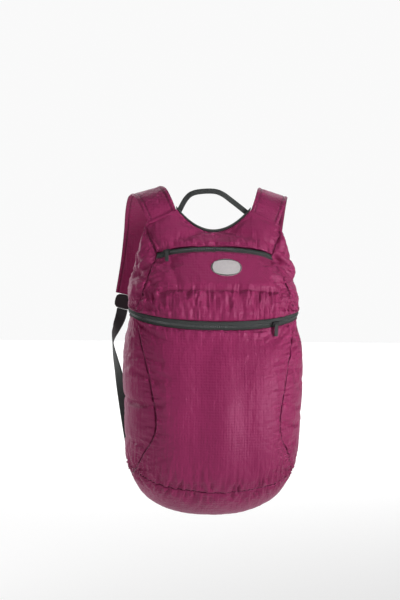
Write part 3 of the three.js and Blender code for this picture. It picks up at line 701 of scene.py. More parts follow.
def cloth_material(colour):
    """Thin shiny ripstop nylon, with painted shade and a darker stitch line along its seams."""
    material, tree, shader = new_material("plum_nylon")
    where = object_place(tree)
    mottle(tree, shader, where, colour, 0.86, 1.14, scale=14.0, detail=4.0, roughness=0.55)
    paint_seam_shade(tree, shader, colour)
    wear = noise_node(tree, where, scale=60.0, detail=3.0, roughness=0.6)
    rough = range_node(tree, wear.outputs["Fac"], low=0.38, high=0.54)
    tree.links.new(rough, shader.inputs["Roughness"])
    stretch = add_node(tree, "ShaderNodeMapping")
    stretch.inputs["Scale"].default_value = (1.0, 1.0, 0.28)
    tree.links.new(where, stretch.inputs["Vector"])
    drawn = stretch.outputs["Vector"]
    crumple = noise_node(tree, where, scale=120.0, detail=4.0, roughness=0.6).outputs["Fac"]
    streaks = noise_node(tree, drawn, scale=150.0, detail=4.0, roughness=0.6).outputs["Fac"]
    weave = weave_height(tree, where, pitch=1.1 * MM)
    ripstop = weave_height(tree, where, pitch=4.5 * MM)
    soft = bump_node(tree, crumple, strength=0.3, distance=3 * MM)
    lined = bump_node(tree, streaks, strength=0.5, distance=3 * MM, before=soft)
    ribbed = bump_node(tree, ripstop, strength=0.22, distance=0.6 * MM, before=lined)
    fine = bump_node(tree, weave, strength=0.15, distance=0.4 * MM, before=ribbed)
    tree.links.new(fine.outputs["Normal"], shader.inputs["Normal"])
    shader.inputs["Specular IOR Level"].default_value = 0.42
    shader.inputs["Specular Tint"].default_value = (1.0, 0.52, 0.74, 1.0)
    shader.inputs["Sheen Weight"].default_value = 0.08
    shader.inputs["Sheen Tint"].default_value = (1.0, 0.35, 0.65, 1.0)
    shader.inputs["Sheen Roughness"].default_value = 0.5
    return material


def tape_material(colour):
    """Matt woven tape."""
    material, tree, shader = new_material("black_tape")
    where = object_place(tree)
    mottle(tree, shader, where, colour, 0.75, 1.35, scale=40.0, detail=3.0, roughness=0.6)
    shader.inputs["Roughness"].default_value = 0.78
    weave = weave_height(tree, where, pitch=1.2 * MM)
    fine = bump_node(tree, weave, strength=0.4, distance=0.6 * MM)
    tree.links.new(fine.outputs["Normal"], shader.inputs["Normal"])
    shader.inputs["Sheen Weight"].default_value = 0.15
    return material


def plastic_material(colour):
    """Satin moulded plastic."""
    material, tree, shader = new_material("black_plastic")
    where = object_place(tree)
    grain = mottle(tree, shader, where, colour, 0.8, 1.3, scale=900.0, detail=2.0, roughness=0.5)
    shader.inputs["Roughness"].default_value = 0.42
    fine = bump_node(tree, grain, strength=0.15, distance=0.3 * MM)
    tree.links.new(fine.outputs["Normal"], shader.inputs["Normal"])
    return material


def thread_material(name, colour):
    """Twisted sewing thread, a shade darker than its colour."""
    material, tree, shader = new_material(name)
    where = object_place(tree)
    strands = mottle(tree, shader, where, colour, 0.45, 0.75, scale=1500.0, detail=2.0,
                     roughness=0.5)
    shader.inputs["Roughness"].default_value = 0.6
    fine = bump_node(tree, strands, strength=0.4, distance=0.3 * MM)
    tree.links.new(fine.outputs["Normal"], shader.inputs["Normal"])
    return material


def label_material(colour):
    """Pale woven label."""
    material, tree, shader = new_material("pale_label")
    where = object_place(tree)
    mottle(tree, shader, where, colour, 0.85, 1.1, scale=220.0, detail=3.0, roughness=0.6)
    shader.inputs["Roughness"].default_value = 0.7
    weave = weave_height(tree, where, pitch=0.8 * MM)
    fine = bump_node(tree, weave, strength=0.5, distance=0.5 * MM)
    tree.links.new(fine.outputs["Normal"], shader.inputs["Normal"])
    return material


def coil_mask(tree, across):
    """1 on the coil along the middle of a zip and 0 on its tape."""
    mask = add_node(tree, "ShaderNodeMapRange", interpolation_type="SMOOTHSTEP")
    mask.inputs["From Min"].default_value = 2.1
    mask.inputs["From Max"].default_value = 2.7
    mask.inputs["To Min"].default_value = 1.0
    mask.inputs["To Max"].default_value = 0.0
    tree.links.new(math_node(tree, "ABSOLUTE", across), mask.inputs["Value"])
    return mask.outputs["Result"]


def zip_material(colour):
    """Black zip tape whose coil shows as fine ribs along the middle of its UV map, painted twice as
    light as the tape as a painted sheen.
    """
    material, tree, shader = new_material("zip_tape")
    place = add_node(tree, "ShaderNodeUVMap", uv_map="shares").outputs["UV"]
    parts = add_node(tree, "ShaderNodeSeparateXYZ")
    tree.links.new(place, parts.inputs["Vector"])
    coil = coil_mask(tree, parts.outputs["Y"])
    ribs = math_node(tree, "SINE", math_node(tree, "MULTIPLY", parts.outputs["X"], 3.9))
    height = math_node(tree, "MULTIPLY", ribs, coil)
    weave = weave_height(tree, object_place(tree), pitch=0.9 * MM)
    woven = bump_node(tree, weave, strength=0.35, distance=0.5 * MM)
    ribbed = bump_node(tree, height, strength=0.9, distance=0.6 * MM, before=woven)
    tree.links.new(ribbed.outputs["Normal"], shader.inputs["Normal"])
    # The coil is painted twice as light as its tape: a painted sheen
    base = mix_colours(tree, coil, colour, scaled(colour, 2.0))
    tree.links.new(base, shader.inputs["Base Color"])
    tree.links.new(range_node(tree, coil, low=0.75, high=0.38), shader.inputs["Roughness"])
    return material


def material_named(name):
    """Material by name, made from the user's colours when it is first asked for."""
    colours = bpy.context.scene.backpack_colours
    makers = {
        "plum_nylon": lambda: cloth_material(tuple(colours.cloth)),
        "plum_thread": lambda: thread_material("plum_thread", tuple(colours.cloth)),
        "border_thread": lambda: thread_material("border_thread", tuple(colours.tape)),
        "black_tape": lambda: tape_material(tuple(colours.tape)),
        "zip_tape": lambda: zip_material(tuple(colours.tape)),
        "black_plastic": lambda: plastic_material(tuple(colours.plastic)),
        "pale_label": lambda: label_material(tuple(colours.label)),
    }
    return bpy.data.materials.get(name) or makers[name]()


# Faces of the cloth sheet by region: first and last line, whether between or beyond the
# side seams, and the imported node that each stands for
REGIONS = (
    {"node": "yoke_panel", "from": 0, "to": LINE["pocket_zip_top"], "side": 0},
    {"node": "pocket_panel", "from": LINE["pocket_zip_foot"], "to": LINE["zip_top"], "side": 0},
    {"node": "upper_side_left", "from": 0, "to": LINE["zip_top"], "side": -1},
    {"node": "upper_side_right", "from": 0, "to": LINE["zip_top"], "side": 1},
    {"node": "lower_front_panel", "from": LINE["zip_foot"], "to": LINE["base_seam"], "side": 0},
    {"node": "lower_side_left", "from": LINE["zip_foot"], "to": LINE["base_seam"], "side": -1},
    {"node": "lower_side_right", "from": LINE["zip_foot"], "to": LINE["base_seam"], "side": 1},
    {"node": "base_panel", "from": LINE["base_seam"], "to": LINE["rim"], "side": None},
)
GAP_REGION = len(REGIONS)
HELD_LINES = (0, LINE["zip_top"], LINE["zip_foot"], LINE["base_seam"], LINE["rim"])
POCKET_LINES = (LINE["pocket_zip_top"], LINE["pocket_zip_foot"], LINE["pocket_seam"])
LIP_HEIGHT = 1.1
ON_LINE = 1e-6

# Widths that set how many columns of cells lie between and beyond the side seams
FRONT_WIDTH = 330
SIDE_WIDTH = 95

# Cloth under a hanging pull: how far it is pressed in, the size of the place and its shape
PULL_DENT = {"press": 1.2, "radius": 11, "reach": 25, "squash": 0.7}

# The simulation works on a larger copy, where its forces are steadier
SIM_SCALE = 10
FABRIC = {
    "quality": 6,
    "mass": 0.15,
    "tension_stiffness": 20,
    "compression_stiffness": 20,
    "shear_stiffness": 8,
    "bending_stiffness": 0.06,
    "tension_damping": 12,
    "compression_damping": 12,
    "shear_damping": 8,
    "bending_damping": 0.5,
    "air_damping": 3,
    "vertex_group_mass": "held",
    "pin_stiffness": 1,
    "use_pressure": True,
}

# Thickness of the finished cloth of the front, and of the sheet at the back
FRONT_CLOTH = 0.8
BACK_CLOTH = 1.0


def line_stations(cell):
    """Lines down the sheet at which its rows lie, about one cell apart."""
    stations = [0.0]
    for line in range(LINE["rim"]):
        run = (bare_skin(0, line + 1) - bare_skin(0, line)).length * MM
        count = max(2, round(run / cell))
        stations.extend(line + (step + 1) / count for step in range(count))
    return stations


def turn_stations(line, side_columns, front_columns):
    """Turns across the sheet at one line, with columns along both side seams."""
    seam = seam_turn(line)
    left = [lerp(-1, -seam, step / side_columns) for step in range(side_columns)]
    middle = [lerp(-seam, seam, step / front_columns) for step in range(front_columns)]
    right = [lerp(seam, 1, step / side_columns) for step in range(side_columns + 1)]
    return left + middle + right


def region_of(line, column, side_columns, front_columns):
    """Index of the region that a face of the sheet belongs to."""
    side = -1 if column < side_columns else (1 if column >= side_columns + front_columns else 0)
    for index, region in enumerate(REGIONS):
        if region["from"] < line < region["to"] and region["side"] in (side, None):
            return index
    return GAP_REGION


def box_middle(node):
    low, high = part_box(node)
    return (Vector(low) + Vector(high)) / 2


PULLS = [box_middle(node) for node in ("main_zip_pull", "pocket_zip_pull")]


def pull_dent(point):
    """How much a hanging pull holds the cloth under it, from 0 to 1."""
    hold = 0.0
    for middle in PULLS:
        drop = PULL_DENT["squash"] * (point.z - middle.z)
        away = Vector((point.x - middle.x, drop)).length / MM
        if away < PULL_DENT["reach"]:
            hold = max(hold, math.exp(-(away / PULL_DENT["radius"]) ** 4))
    return hold


def is_sewn(line, column, seam_columns, columns):
    """Whether a vertex of the sheet lies on one of its seams."""
    on_line = abs(line - round(line)) < ON_LINE
    between = seam_columns[0] <= column <= seam_columns[1]
    return any((
        on_line and round(line) in HELD_LINES,
        on_line and between and round(line) in POCKET_LINES,
        column in (0, columns),
        column in seam_columns and line >= GUSSET_START,
    ))


def in_a_zip(line, column, seam_columns):
    between = seam_columns[0] <= column <= seam_columns[1]
    in_main = LINE["zip_top"] <= line <= LINE["zip_foot"]
    in_pocket = LINE["pocket_zip_top"] <= line <= LINE["pocket_zip_foot"]
    return in_main or (between and in_pocket)


def mark_regions(bm, lines, columns, side_columns, front_columns):
    """Writes the region of each face as its material and a UV map of the whole sheet."""
    rows = len(lines) - 1
    uv = bm.loops.layers.uv.new("shares")
    for face in bm.faces:
        cells = [divmod(vert.index, columns + 1) for vert in face.verts]
        row = min(cell_row for cell_row, _ in cells)
        column = min(cell_column for _, cell_column in cells)
        middle = (lines[row] + lines[row + 1]) / 2
        face.material_index = region_of(middle, column, side_columns, front_columns)
        for loop in face.loops:
            loop_row, loop_column = divmod(loop.vert.index, columns + 1)
            loop[uv].uv = (loop_column / columns, loop_row / rows)


def sheet_bmesh(sizes, room):
    """The cloth sheet before simulation, with held vertices in its deform layer."""
    front_columns = round(FRONT_WIDTH * MM / sizes.cell)
    side_columns = round(SIDE_WIDTH * MM / sizes.cell)
    columns = front_columns + 2 * side_columns
    seam_columns = (side_columns, side_columns + front_columns)
    lines = line_stations(sizes.cell)
    turns = [turn_stations(line, side_columns, front_columns) for line in lines]
    rows = len(lines) - 1
    bm = bmesh.new()
    bmesh.ops.create_grid(bm, x_segments=columns, y_segments=rows, size=0.5)
    held = bm.verts.layers.deform.verify()
    turn_layer = bm.verts.layers.float.new("turn")
    line_layer = bm.verts.layers.float.new("line")
    for vert in bm.verts:
        column = round((vert.co.x + 0.5) * columns)
        row = round((0.5 - vert.co.y) * rows)
        vert.index = row * (columns + 1) + column
        turn, line = turns[row][column], lines[row]
        vert[turn_layer], vert[line_layer] = turn, line
        dent = pull_dent(skin(turn, line))
        sewn = is_sewn(line, column, seam_columns, columns)
        in_zip = in_a_zip(line, column, seam_columns)
        fixed = sewn or in_zip
        vert[held][0] = 1.0 if fixed else dent
        lift = -PULL_DENT["press"] * dent
        if in_zip and abs(line - round(line)) < ON_LINE:
            lift += LIP_HEIGHT
        if not fixed:
            lift -= room / MM * (1 - dent)
        vert.co = skin(turn, line, lift)
    mark_regions(bm, lines, columns, side_columns, front_columns)
    return bm


def simulate(obj, sizes):
    """Puffs the cloth between its held seams; spare cloth buckles into puckers."""
    mesh = obj.data
    rest = [vert.co.copy() for vert in mesh.vertices]
    for vert in mesh.vertices:
        vert.co *= SIM_SCALE
    modifier = obj.modifiers.new("Cloth", "CLOTH")
    settings = modifier.settings
    for name, value in FABRIC.items():
        setattr(settings, name, value)
    settings.shrink_min = -sizes.spare
    settings.uniform_pressure_force = sizes.pressure
    settings.effector_weights.gravity = 0
    modifier.collision_settings.use_collision = False
    scene = bpy.context.scene
    scene.frame_start = 1
    scene.frame_end = sizes.steps
    for step in range(1, sizes.steps + 1):
        scene.frame_set(step)
    graph = bpy.context.evaluated_depsgraph_get()
    moved = obj.evaluated_get(graph).data
    settled = [vert.co / SIM_SCALE for vert in moved.vertices]
    obj.modifiers.remove(modifier)
    for vert, start, end in zip(mesh.vertices, rest, settled):
        move = end - start
        if move.length > sizes.most_move:
            move *= sizes.most_move / move.length
        vert.co = start + move


def smoothed(obj):
    """Mesh of the object after one subdivision; the object is removed."""
    modifier = obj.modifiers.new("Smoother", "SUBSURF")
    modifier.levels = 1
    modifier.render_levels = 1
    return baked(obj)


def add_creases(mesh, sizes):
    """Puckers and crinkles on the settled cloth, and an attribute that marks its seams for painted
    shade and a darker stitch line.
    """
    turns = mesh.attributes["turn"].data
    lines = mesh.attributes["line"].data
    seams = mesh.attributes.new("seam", "FLOAT", "POINT").data
    normals = [normal.vector.copy() for normal in mesh.vertex_normals]
    for index, vert in enumerate(mesh.vertices):
        turn, line = turns[index].value, lines[index].value
        if LINE["zip_top"] < line < LINE["zip_foot"]:
            continue
        lift, stitched = seam_puckers(turn, line)
        edge = min(1, EDGE_FADE * (1 - abs(turn)), line / TOP_FADE,
                   (LINE["rim"] - line) / RIM_FADE)
        free = (1 - pull_dent(vert.co)) * (1 - stitched)
        lift += free * edge * sizes.crinkle / MM * crinkle(turn, line)
        lift += free * edge * relief(vert.co / MM, CREASES)
        # The seam attribute paints shade in the seam groove, stronger where the stitching draws the
        # cloth in, and a darker stitch line
        seams[index].value = stitched
        vert.co += normals[index] * lift * MM


def cut_region(mesh, index, name):
    """One region of the finished sheet as a thin closed wall."""
    bm = bmesh.new()
    bm.from_mesh(mesh)
    others = [face for face in bm.faces if face.material_index != index]
    bmesh.ops.delete(bm, geom=others, context="FACES")
    for face in bm.faces:
        face.material_index = 0
    piece = object_from(bm, name)
    thicken(piece, FRONT_CLOTH * MM)
    return piece


# Studio: places and sizes in metres, power in watts and spread of the light in degrees
LIGHTS = (
    {"name": "key_light", "place": (1.7, -1.5, 0.0), "size": 0.7, "watts": 1.85, "spread": 28},
    {"name": "fill_light", "place": (-1.9, -1.5, -0.1), "size": 1.4, "watts": 9, "spread": 180},
    {"name": "top_light", "place": (0.2, -0.4, 1.8), "size": 0.9, "watts": 4.5, "spread": 180},
    {"name": "back_light", "place": (-1.5, 1.6, 0.1), "size": 0.8, "watts": 9, "spread": 180},
    {"name": "floor_light", "place": (0, 6, 2.2), "size": 7, "watts": 300, "spread": 180},
)
LIT_PLACE = Vector((0.04, -0.15, -0.19))
FLOOR = {"half_size": 8, "below": 0.5, "shade": 0.9, "roughness": 0.9, "glow": 0.16}
SKY = {"on_pack": 0.23, "seen": 0.95}
CAMERA_TARGET = Vector((-0.0245, -0.1, -0.182))
FILM_HEIGHT = 24


class BACKPACK_OT_stage(bpy.types.Operator):
    """Adds the floor, the lights and the camera of the photograph"""

    bl_idname = "backpack.stage"
    bl_label = "Stage and Camera"

    def execute(self, context):
        self.add_floor()
        context.scene.world = self.studio_world()
        context.scene.view_settings.view_transform = "Standard"
        for light in LIGHTS:
            self.add_light(context, light)
        self.add_camera(context, context.scene.backpack_stage)
        return {"FINISHED"}

    def add_floor(self):
        low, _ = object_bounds()
        bm = bmesh.new()
        bmesh.ops.create_grid(bm, x_segments=1, y_segments=1, size=FLOOR["half_size"])
        bmesh.ops.translate(bm, verts=bm.verts, vec=(0, 0, low.z - FLOOR["below"]))
        floor = object_from(bm, "floor", smooth=False)
        material, _, shader = new_material("pale_floor")
        shader.inputs["Base Color"].default_value = (*[FLOOR["shade"]] * 3, 1)
        shader.inputs["Roughness"].default_value = FLOOR["roughness"]
        shader.inputs["Emission Color"].default_value = (1, 1, 1, 1)
        shader.inputs["Emission Strength"].default_value = FLOOR["glow"]
        floor.data.materials.append(material)
        floor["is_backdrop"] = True

    def add_light(self, context, light):
        """Adds one lamp; the floor's lamp faces down and the others face the pack."""
        lamp = bpy.data.lights.new(light["name"], "AREA")
        lamp.energy = light["watts"]
        lamp.size = light["size"]
        lamp.spread = math.radians(light["spread"])
        obj = bpy.data.objects.new(light["name"], lamp)
        obj.location = light["place"]
        if light["name"] != "floor_light":
            facing = LIT_PLACE - Vector(light["place"])
            obj.rotation_euler = facing.to_track_quat("-Z", "Y").to_euler()
        context.scene.collection.objects.link(obj)

    def studio_world(self):
        """White to the eye, and a soft weaker light on the pack."""
        world = bpy.data.worlds.new("studio")
        world.use_nodes = True
        tree = world.node_tree
        background = tree.nodes["Background"]
        background.inputs["Color"].default_value = (1, 1, 1, 1)
        seen = add_node(tree, "ShaderNodeLightPath").outputs["Is Camera Ray"]
        strength = range_node(tree, seen, low=SKY["on_pack"], high=SKY["seen"])
        tree.links.new(strength, background.inputs["Strength"])
        return world

    def add_camera(self, context, stage):
        data = bpy.data.cameras.new("camera")
        data.sensor_fit = "VERTICAL"
        data.sensor_height = FILM_HEIGHT
        data.lens = FILM_HEIGHT * stage.distance / stage.view_height
        camera = bpy.data.objects.new("camera", data)
        away = Vector((
            math.sin(stage.azimuth) * math.cos(stage.elevation),
            -math.cos(stage.azimuth) * math.cos(stage.elevation),
            math.sin(stage.elevation),
        ))
        camera.location = CAMERA_TARGET + away * stage.distance
        turn = (-away).to_track_quat("-Z", "Y").to_matrix()
        camera.rotation_euler = (turn @ Matrix.Rotation(stage.roll, 3, "Z")).to_euler()
        context.scene.collection.objects.link(camera)
        context.scene.camera = camera


# The settled cloth, kept for the pieces that are sewn on it
SETTLED = {}


def on_cloth(x, z, raised):
    """Point on the settled front at an x and a height, raised towards the eye, in metres."""
    hit = SETTLED["front"].ray_cast(Vector((x, -1, z)), Vector((0, 1, 0)))[0]
    if hit is None:
        raise RuntimeError("No cloth lies behind a piece that is sewn on it")
    return hit + Vector((0, -raised, 0))


class BACKPACK_OT_cloth_body(bpy.types.Operator):
    """Builds the front, side and base panels as one simulated sheet cut at its seams"""

    bl_idname = "backpack.cloth_body"
    bl_label = "Cloth Body"

    def execute(self, context):
        sizes = context.scene.backpack_sizes
        room = sizes.room
        sheet = object_from(sheet_bmesh(sizes, room), "cloth_sheet")
        sheet.vertex_groups.new(name="held")
        for _ in range(GAP_REGION + 1):
            sheet.data.materials.append(None)
        simulate(sheet, sizes)
        mesh = smoothed(sheet)
        add_creases(mesh, sizes)
        surface = bmesh.new()
        surface.from_mesh(mesh)
        SETTLED["front"] = BVHTree.FromBMesh(surface)
        surface.free()
        for index, region in enumerate(REGIONS):
            piece = cut_region(mesh, index, f"{region['node']}_cloth")
            finish_piece(piece, "cloth", material_named("plum_nylon"), region["node"])
        bpy.data.meshes.remove(mesh)
        return {"FINISHED"}


# Folds of the sheet against the wearer's back, its cells and the row of stitches inside it
PANEL_FOLDS = {"across": 40, "along": 55, "height": 2.4, "seed": 4.0, "inner": 3}
PANEL_CELLS = (130, 210)
PANEL_STITCHES = {"inset": 0.03, "steps": 300, "raised": 1.1}


def panel_line(share):
    """Line of the body whose side drop lies at an even share of the way down."""
    side_drops = LINES["side"]
    wanted = lerp(side_drops[0], side_drops[-1], share)
    low, high = 0.0, float(LINE["rim"])
    for _ in range(20):
        middle = (low + high) / 2
        if smooth_value(side_drops, middle) < wanted:
            low = middle
        else:
            high = middle
    return low


def panel_point(a, b):
    """Point on the back panel at shares across and down it, in metres."""
    turn = lerp(-1, 1, a)
    across = level_slice(turn, FLAT_WRAP)[0]
    half_width = bare_skin(1, panel_line(b)).x
    head = STRAP_THICKNESS - top_drop(EAR_HALF * across)
    foot = bare_skin(turn, LINE["rim"]).z
    x = half_width * across
    z = lerp(head, foot, b)
    inside = 4 * b * (1 - b) * (1 - across * across)
    fold = crease(x / PANEL_FOLDS["across"], z / PANEL_FOLDS["along"], PANEL_FOLDS["seed"])
    lift = fold * PANEL_FOLDS["height"] * min(1, PANEL_FOLDS["inner"] * inside)
    to_side = half_width * (1 - abs(across))
    to_end = min(b, 1 - b) * (head - foot)
    along = z if to_side < to_end else x
    lift += edge_puckers(along, min(to_side, to_end), PANEL_SEAM["height"], PANEL_SEAM["seed"])
    y = -SHOULDER_TO_BACK + SEAM_GAP / 2 + BACK_BULGE * inside + lift
    return Vector((x, y, z)) * MM


class BACKPACK_OT_back_panel(bpy.types.Operator):
    """Builds the sheet against the wearer's back"""

    bl_idname = "backpack.back_panel"
    bl_label = "Back Panel"

    def execute(self, context):
        panel = object_from(grid_bmesh(*PANEL_CELLS, panel_point), "back_panel_cloth")
        thicken(panel, -BACK_CLOTH * MM)
        self.add_stitching()
        finish_piece(panel, "cloth", material_named("plum_nylon"), "back_panel")
        return {"FINISHED"}

    def add_stitching(self):
        bm = bmesh.new()
        near, far = PANEL_STITCHES["inset"], 1 - PANEL_STITCHES["inset"]
        steps = PANEL_STITCHES["steps"]
        raised = Vector((0, PANEL_STITCHES["raised"] * MM, 0))
        corners = ((near, near), (far, near), (far, far), (near, far), (near, near))
        for (a1, b1), (a2, b2) in zip(corners, corners[1:]):
            add_stitches(bm, [
                panel_point(lerp(a1, a2, step / steps), lerp(b1, b2, step / steps)) + raised
                for step in range(steps + 1)])
        finish_piece(object_from(bm, "back_stitching"), "cloth", material_named("plum_thread"))


def tape_strip(name, first, last, between_seams, columns, profile):
    """Tape on the skin between two lines; its UV map holds millimetres along and across."""
    rows = len(profile) - 1
    middle = (first + last) / 2
    girth = smooth_value(GIRTHS, middle)
    width = smooth_value(RUNS, last) - smooth_value(RUNS, first)

    def place(a, b):
        line = lerp(first, last, b)
        reach = seam_turn(line) if between_seams else 1.0
        return skin(lerp(-reach, reach, a), line, profile[round(b * rows)])

    bm = grid_bmesh(columns, rows, place)
    length = 2 * girth * (seam_turn(middle) if between_seams else 1.0)
    shares = bm.loops.layers.uv["shares"]
    for face in bm.faces:
        for loop in face.loops:
            loop[shares].uv.x *= length
            loop[shares].uv.y = (loop[shares].uv.y - 0.5) * width
    strip = object_from(bm, name)
    thicken(strip, TAPE_THICKNESS * MM)
    return strip


# Heights across a zip in millimetres: tucked edge, flat tape, two coils and the groove
ZIP_PROFILE = (
    -1.6, -1.1, -0.8, -0.75, -0.55, -0.75, -0.75, -0.7, -0.2, 0.3, 0.35, 0.05, -0.45,
    0.05, 0.35, 0.3, -0.2, -0.7, -0.75, -0.75, -0.55, -0.75, -0.8, -1.1, -1.6,
)
TAPE_THICKNESS = 0.9
ZIP_CELLS = {"main": 240, "pocket": 120}

# Stitching: pitch, length and thickness of a stitch, how far it stands on the cloth, how far
# it lies from the edge of a zip, and the share of a seam that it runs along
STITCH_PITCH = 3.3 * MM
STITCH_LENGTH = 2.4 * MM
THREAD = 0.65 * MM
STITCH_RAISED = 0.1 * MM
STITCH_INSET = {"main": 2.4, "pocket": 2.2}
STITCH_RUN = 0.97


def add_stitch(bm, start, end, fullness):
    """One visible length of thread between two points."""
    run = end - start
    turn = run.to_track_quat("X", "Z").to_matrix().to_4x4()
    size = Matrix.Diagonal((run.length, fullness * THREAD, fullness * THREAD, 1))
    place = Matrix.Translation((start + end) / 2) @ turn @ size
    bmesh.ops.create_icosphere(bm, subdivisions=1, radius=0.5, matrix=place)


def add_stitches(bm, points):
    """Row of short thread stitches along a line of points."""
    gone = 0.0
    for start, end in zip(points, points[1:]):
        run = end - start
        gone += run.length
        if gone < STITCH_PITCH:
            continue
        gone -= STITCH_PITCH
        add_stitch(bm, start, start + run.normalized() * STITCH_LENGTH, 1)


def sewn_point(turn, line, raised):
    """Point on the settled front at a turn and a line, raised by some metres."""
    hit = SETTLED["front"].find_nearest(skin(turn, line))[0]
    return hit + skin_normal(turn, line) * raised


def seam_points(line, inset, reach_of):
    """Points along a line of the body, moved down it by an inset in millimetres."""
    spacing = smooth_value(RUNS, min(line + 0.5, LINE["rim"])) - smooth_value(RUNS, line - 0.5)
    place = line + inset / spacing
    reach = reach_of(place)
    steps = round(2 * reach * smooth_value(GIRTHS, place))
    return [sewn_point(lerp(-reach, reach, step / steps), place, STITCH_RAISED)
            for step in range(steps + 1)]


class BACKPACK_OT_zips(bpy.types.Operator):
    """Builds both closed zips, tapes and coils, and the stitching beside them"""

    bl_idname = "backpack.zips"
    bl_label = "Zips"

    def execute(self, context):
        tape = material_named("zip_tape")
        main = tape_strip("main_zip_cloth_tape", LINE["zip_top"], LINE["zip_foot"], False,
                          ZIP_CELLS["main"], ZIP_PROFILE)
        finish_piece(main, "tape", tape, "main_zip_tape")
        pocket = tape_strip("pocket_zip_cloth_tape", LINE["pocket_zip_top"],
                            LINE["pocket_zip_foot"], True, ZIP_CELLS["pocket"], ZIP_PROFILE)
        finish_piece(pocket, "tape", tape, "pocket_zip_tape")
        self.add_stitching()
        return {"FINISHED"}

    def add_stitching(self):
        """Rows of stitches above and below both zips."""
        bm = bmesh.new()
        for line, side in ((LINE["pocket_zip_top"], -1), (LINE["pocket_zip_foot"], 1)):
            add_stitches(bm, seam_points(line, side * STITCH_INSET["pocket"],
                                         lambda place: STITCH_RUN * seam_turn(place)))
        for line, side in ((LINE["zip_top"], -1), (LINE["zip_foot"], 1)):
            add_stitches(bm, seam_points(line, side * STITCH_INSET["main"],
                                         lambda place: STITCH_RUN))
        finish_piece(object_from(bm, "front_stitching"), "cloth", material_named("plum_thread"))


# Step along a path at which its direction is taken, and cells across and along each band
PATH_STEP = 0.05
STRAP_CELLS = (36, 260)
WEBBING_CELLS = (12, 160)
LOOP_CELLS = (10, 140)

# Edge of a plain tape, and hems of a strap: places and spreads as shares of the width,
# heights in millimetres
TAPE_EDGE = {"spread": 0.06, "depth": 0.35, "wave": 0.12}
STITCH_SHARE = 0.135
# Painted shade in the stitch grooves of a strap, with a darker stitch line: its spread as a share
# of the width, and its strength on the groove
STITCH_PAINTED_SHADE = {"spread": 0.025, "most": 0.75}
STITCH_GROOVE = {"spread": 0.022, "depth": 1.0}
HEM = {"place": 0.065, "spread": 0.04, "height": 0.6}
STRAP_PUCKERS = {"along": 62, "across": 3, "seed": 2.0, "all": 0.2, "by_hem": 0.6,
                 "reach": 0.1, "edge": 0.05}
STRAP_SWELL = {"across": 2, "along": 12, "seed": 7.0}
STRAP_EDGE = {"spread": 0.018, "depth": 1.2}
STRAP_STITCHES = {"steps": 400, "first": 8, "last": 4}


def bell(away, spread):
    return math.exp(-(away / spread) ** 2)


def tilt_across(path):
    def across(at, ahead):
        tilt = math.radians(smooth_value(path["tilt"], at))
        return Vector((math.cos(tilt), 0, -math.sin(tilt)))
    return across


def facing_across(path):
    def across(at, ahead):
        angle = math.radians(smooth_value(path["facing"], at))
        return ahead.cross(Vector((math.cos(angle), math.sin(angle), 0)))
    return across


def loop_across(at, ahead):
    """Across the grab loop, whose flat side looks away from a point below it."""
    point = path_point(LOOP_PATH, at) / MM
    return Vector((point.x, LOOP_LEAN * LOOP_FOCUS, LOOP_FOCUS))


def band_point(path, width, across_at, a, b, raised):
    """Point on a band at shares across and along it, raised by some millimetres."""
    end = len(path["x"]) - 1
    at = lerp(path.get("start", 0), end, b)
    step = PATH_STEP
    ahead = (path_point(path, at + step) - path_point(path, at - step)).normalized()
    across = across_at(at, ahead)
    across = (across - ahead * across.dot(ahead)).normalized()
    out = across.cross(ahead).normalized()
    point = path_point(path, at)
    point += across * ((a - 0.5) * width * MM * smooth_value(path["width"], at))
    return point + out * raised * MM


def band_bmesh(path, width, thickness, columns, rows, across_at, relief_at):
    """Closed flat band that follows a path, with its relief on both faces."""
    def place(a, b):
        return band_point(path, width, across_at, a, b, thickness / 2 + relief_at(a, b))

    def place_behind(a, b):
        return band_point(path, width, across_at, a, b, -thickness / 2 - relief_at(a, b))

    bm = grid_bmesh(columns, rows, place)
    behind = grid_bmesh(columns, rows, place_behind)
    bmesh.ops.reverse_faces(behind, faces=behind.faces)
    mesh = bpy.data.meshes.new("behind")
    behind.to_mesh(mesh)
    behind.free()
    bm.from_mesh(mesh)
    bpy.data.meshes.remove(mesh)
    edges = [edge for edge in bm.edges if edge.is_boundary]
    bmesh.ops.bridge_loops(bm, edges=edges)
    face_outwards(bm)
    return bm


def mark_painted_stitch_shade(bm):
    """Attribute that darkens the cloth of a strap along its stitching: painted shade in the stitch
    groove and a darker stitch line.
    """
    shares = bm.loops.layers.uv["shares"]
    seam = bm.verts.layers.float.new("seam")
    for face in bm.faces:
        for loop in face.loops:
            edge = min(loop[shares].uv.x, 1 - loop[shares].uv.x)
            shade = bell(edge - STITCH_SHARE, STITCH_PAINTED_SHADE["spread"])
            loop.vert[seam] = STITCH_PAINTED_SHADE["most"] * shade


def plain_relief(a, b):
    """Slightly thinner edges of a plain tape, in millimetres."""
    wave = noise.noise(Vector((a * 3, b * 30, 6.0)))
    thinner = TAPE_EDGE["depth"] * bell(min(a, 1 - a), TAPE_EDGE["spread"])
    return TAPE_EDGE["wave"] * wave - thinner


def mirrored(bm):
    """Copy of a band on the other side of the pack."""
    copy = bm.copy()
    bmesh.ops.scale(copy, vec=(-1, 1, 1), verts=copy.verts)
    bmesh.ops.reverse_faces(copy, faces=copy.faces)
    return copy


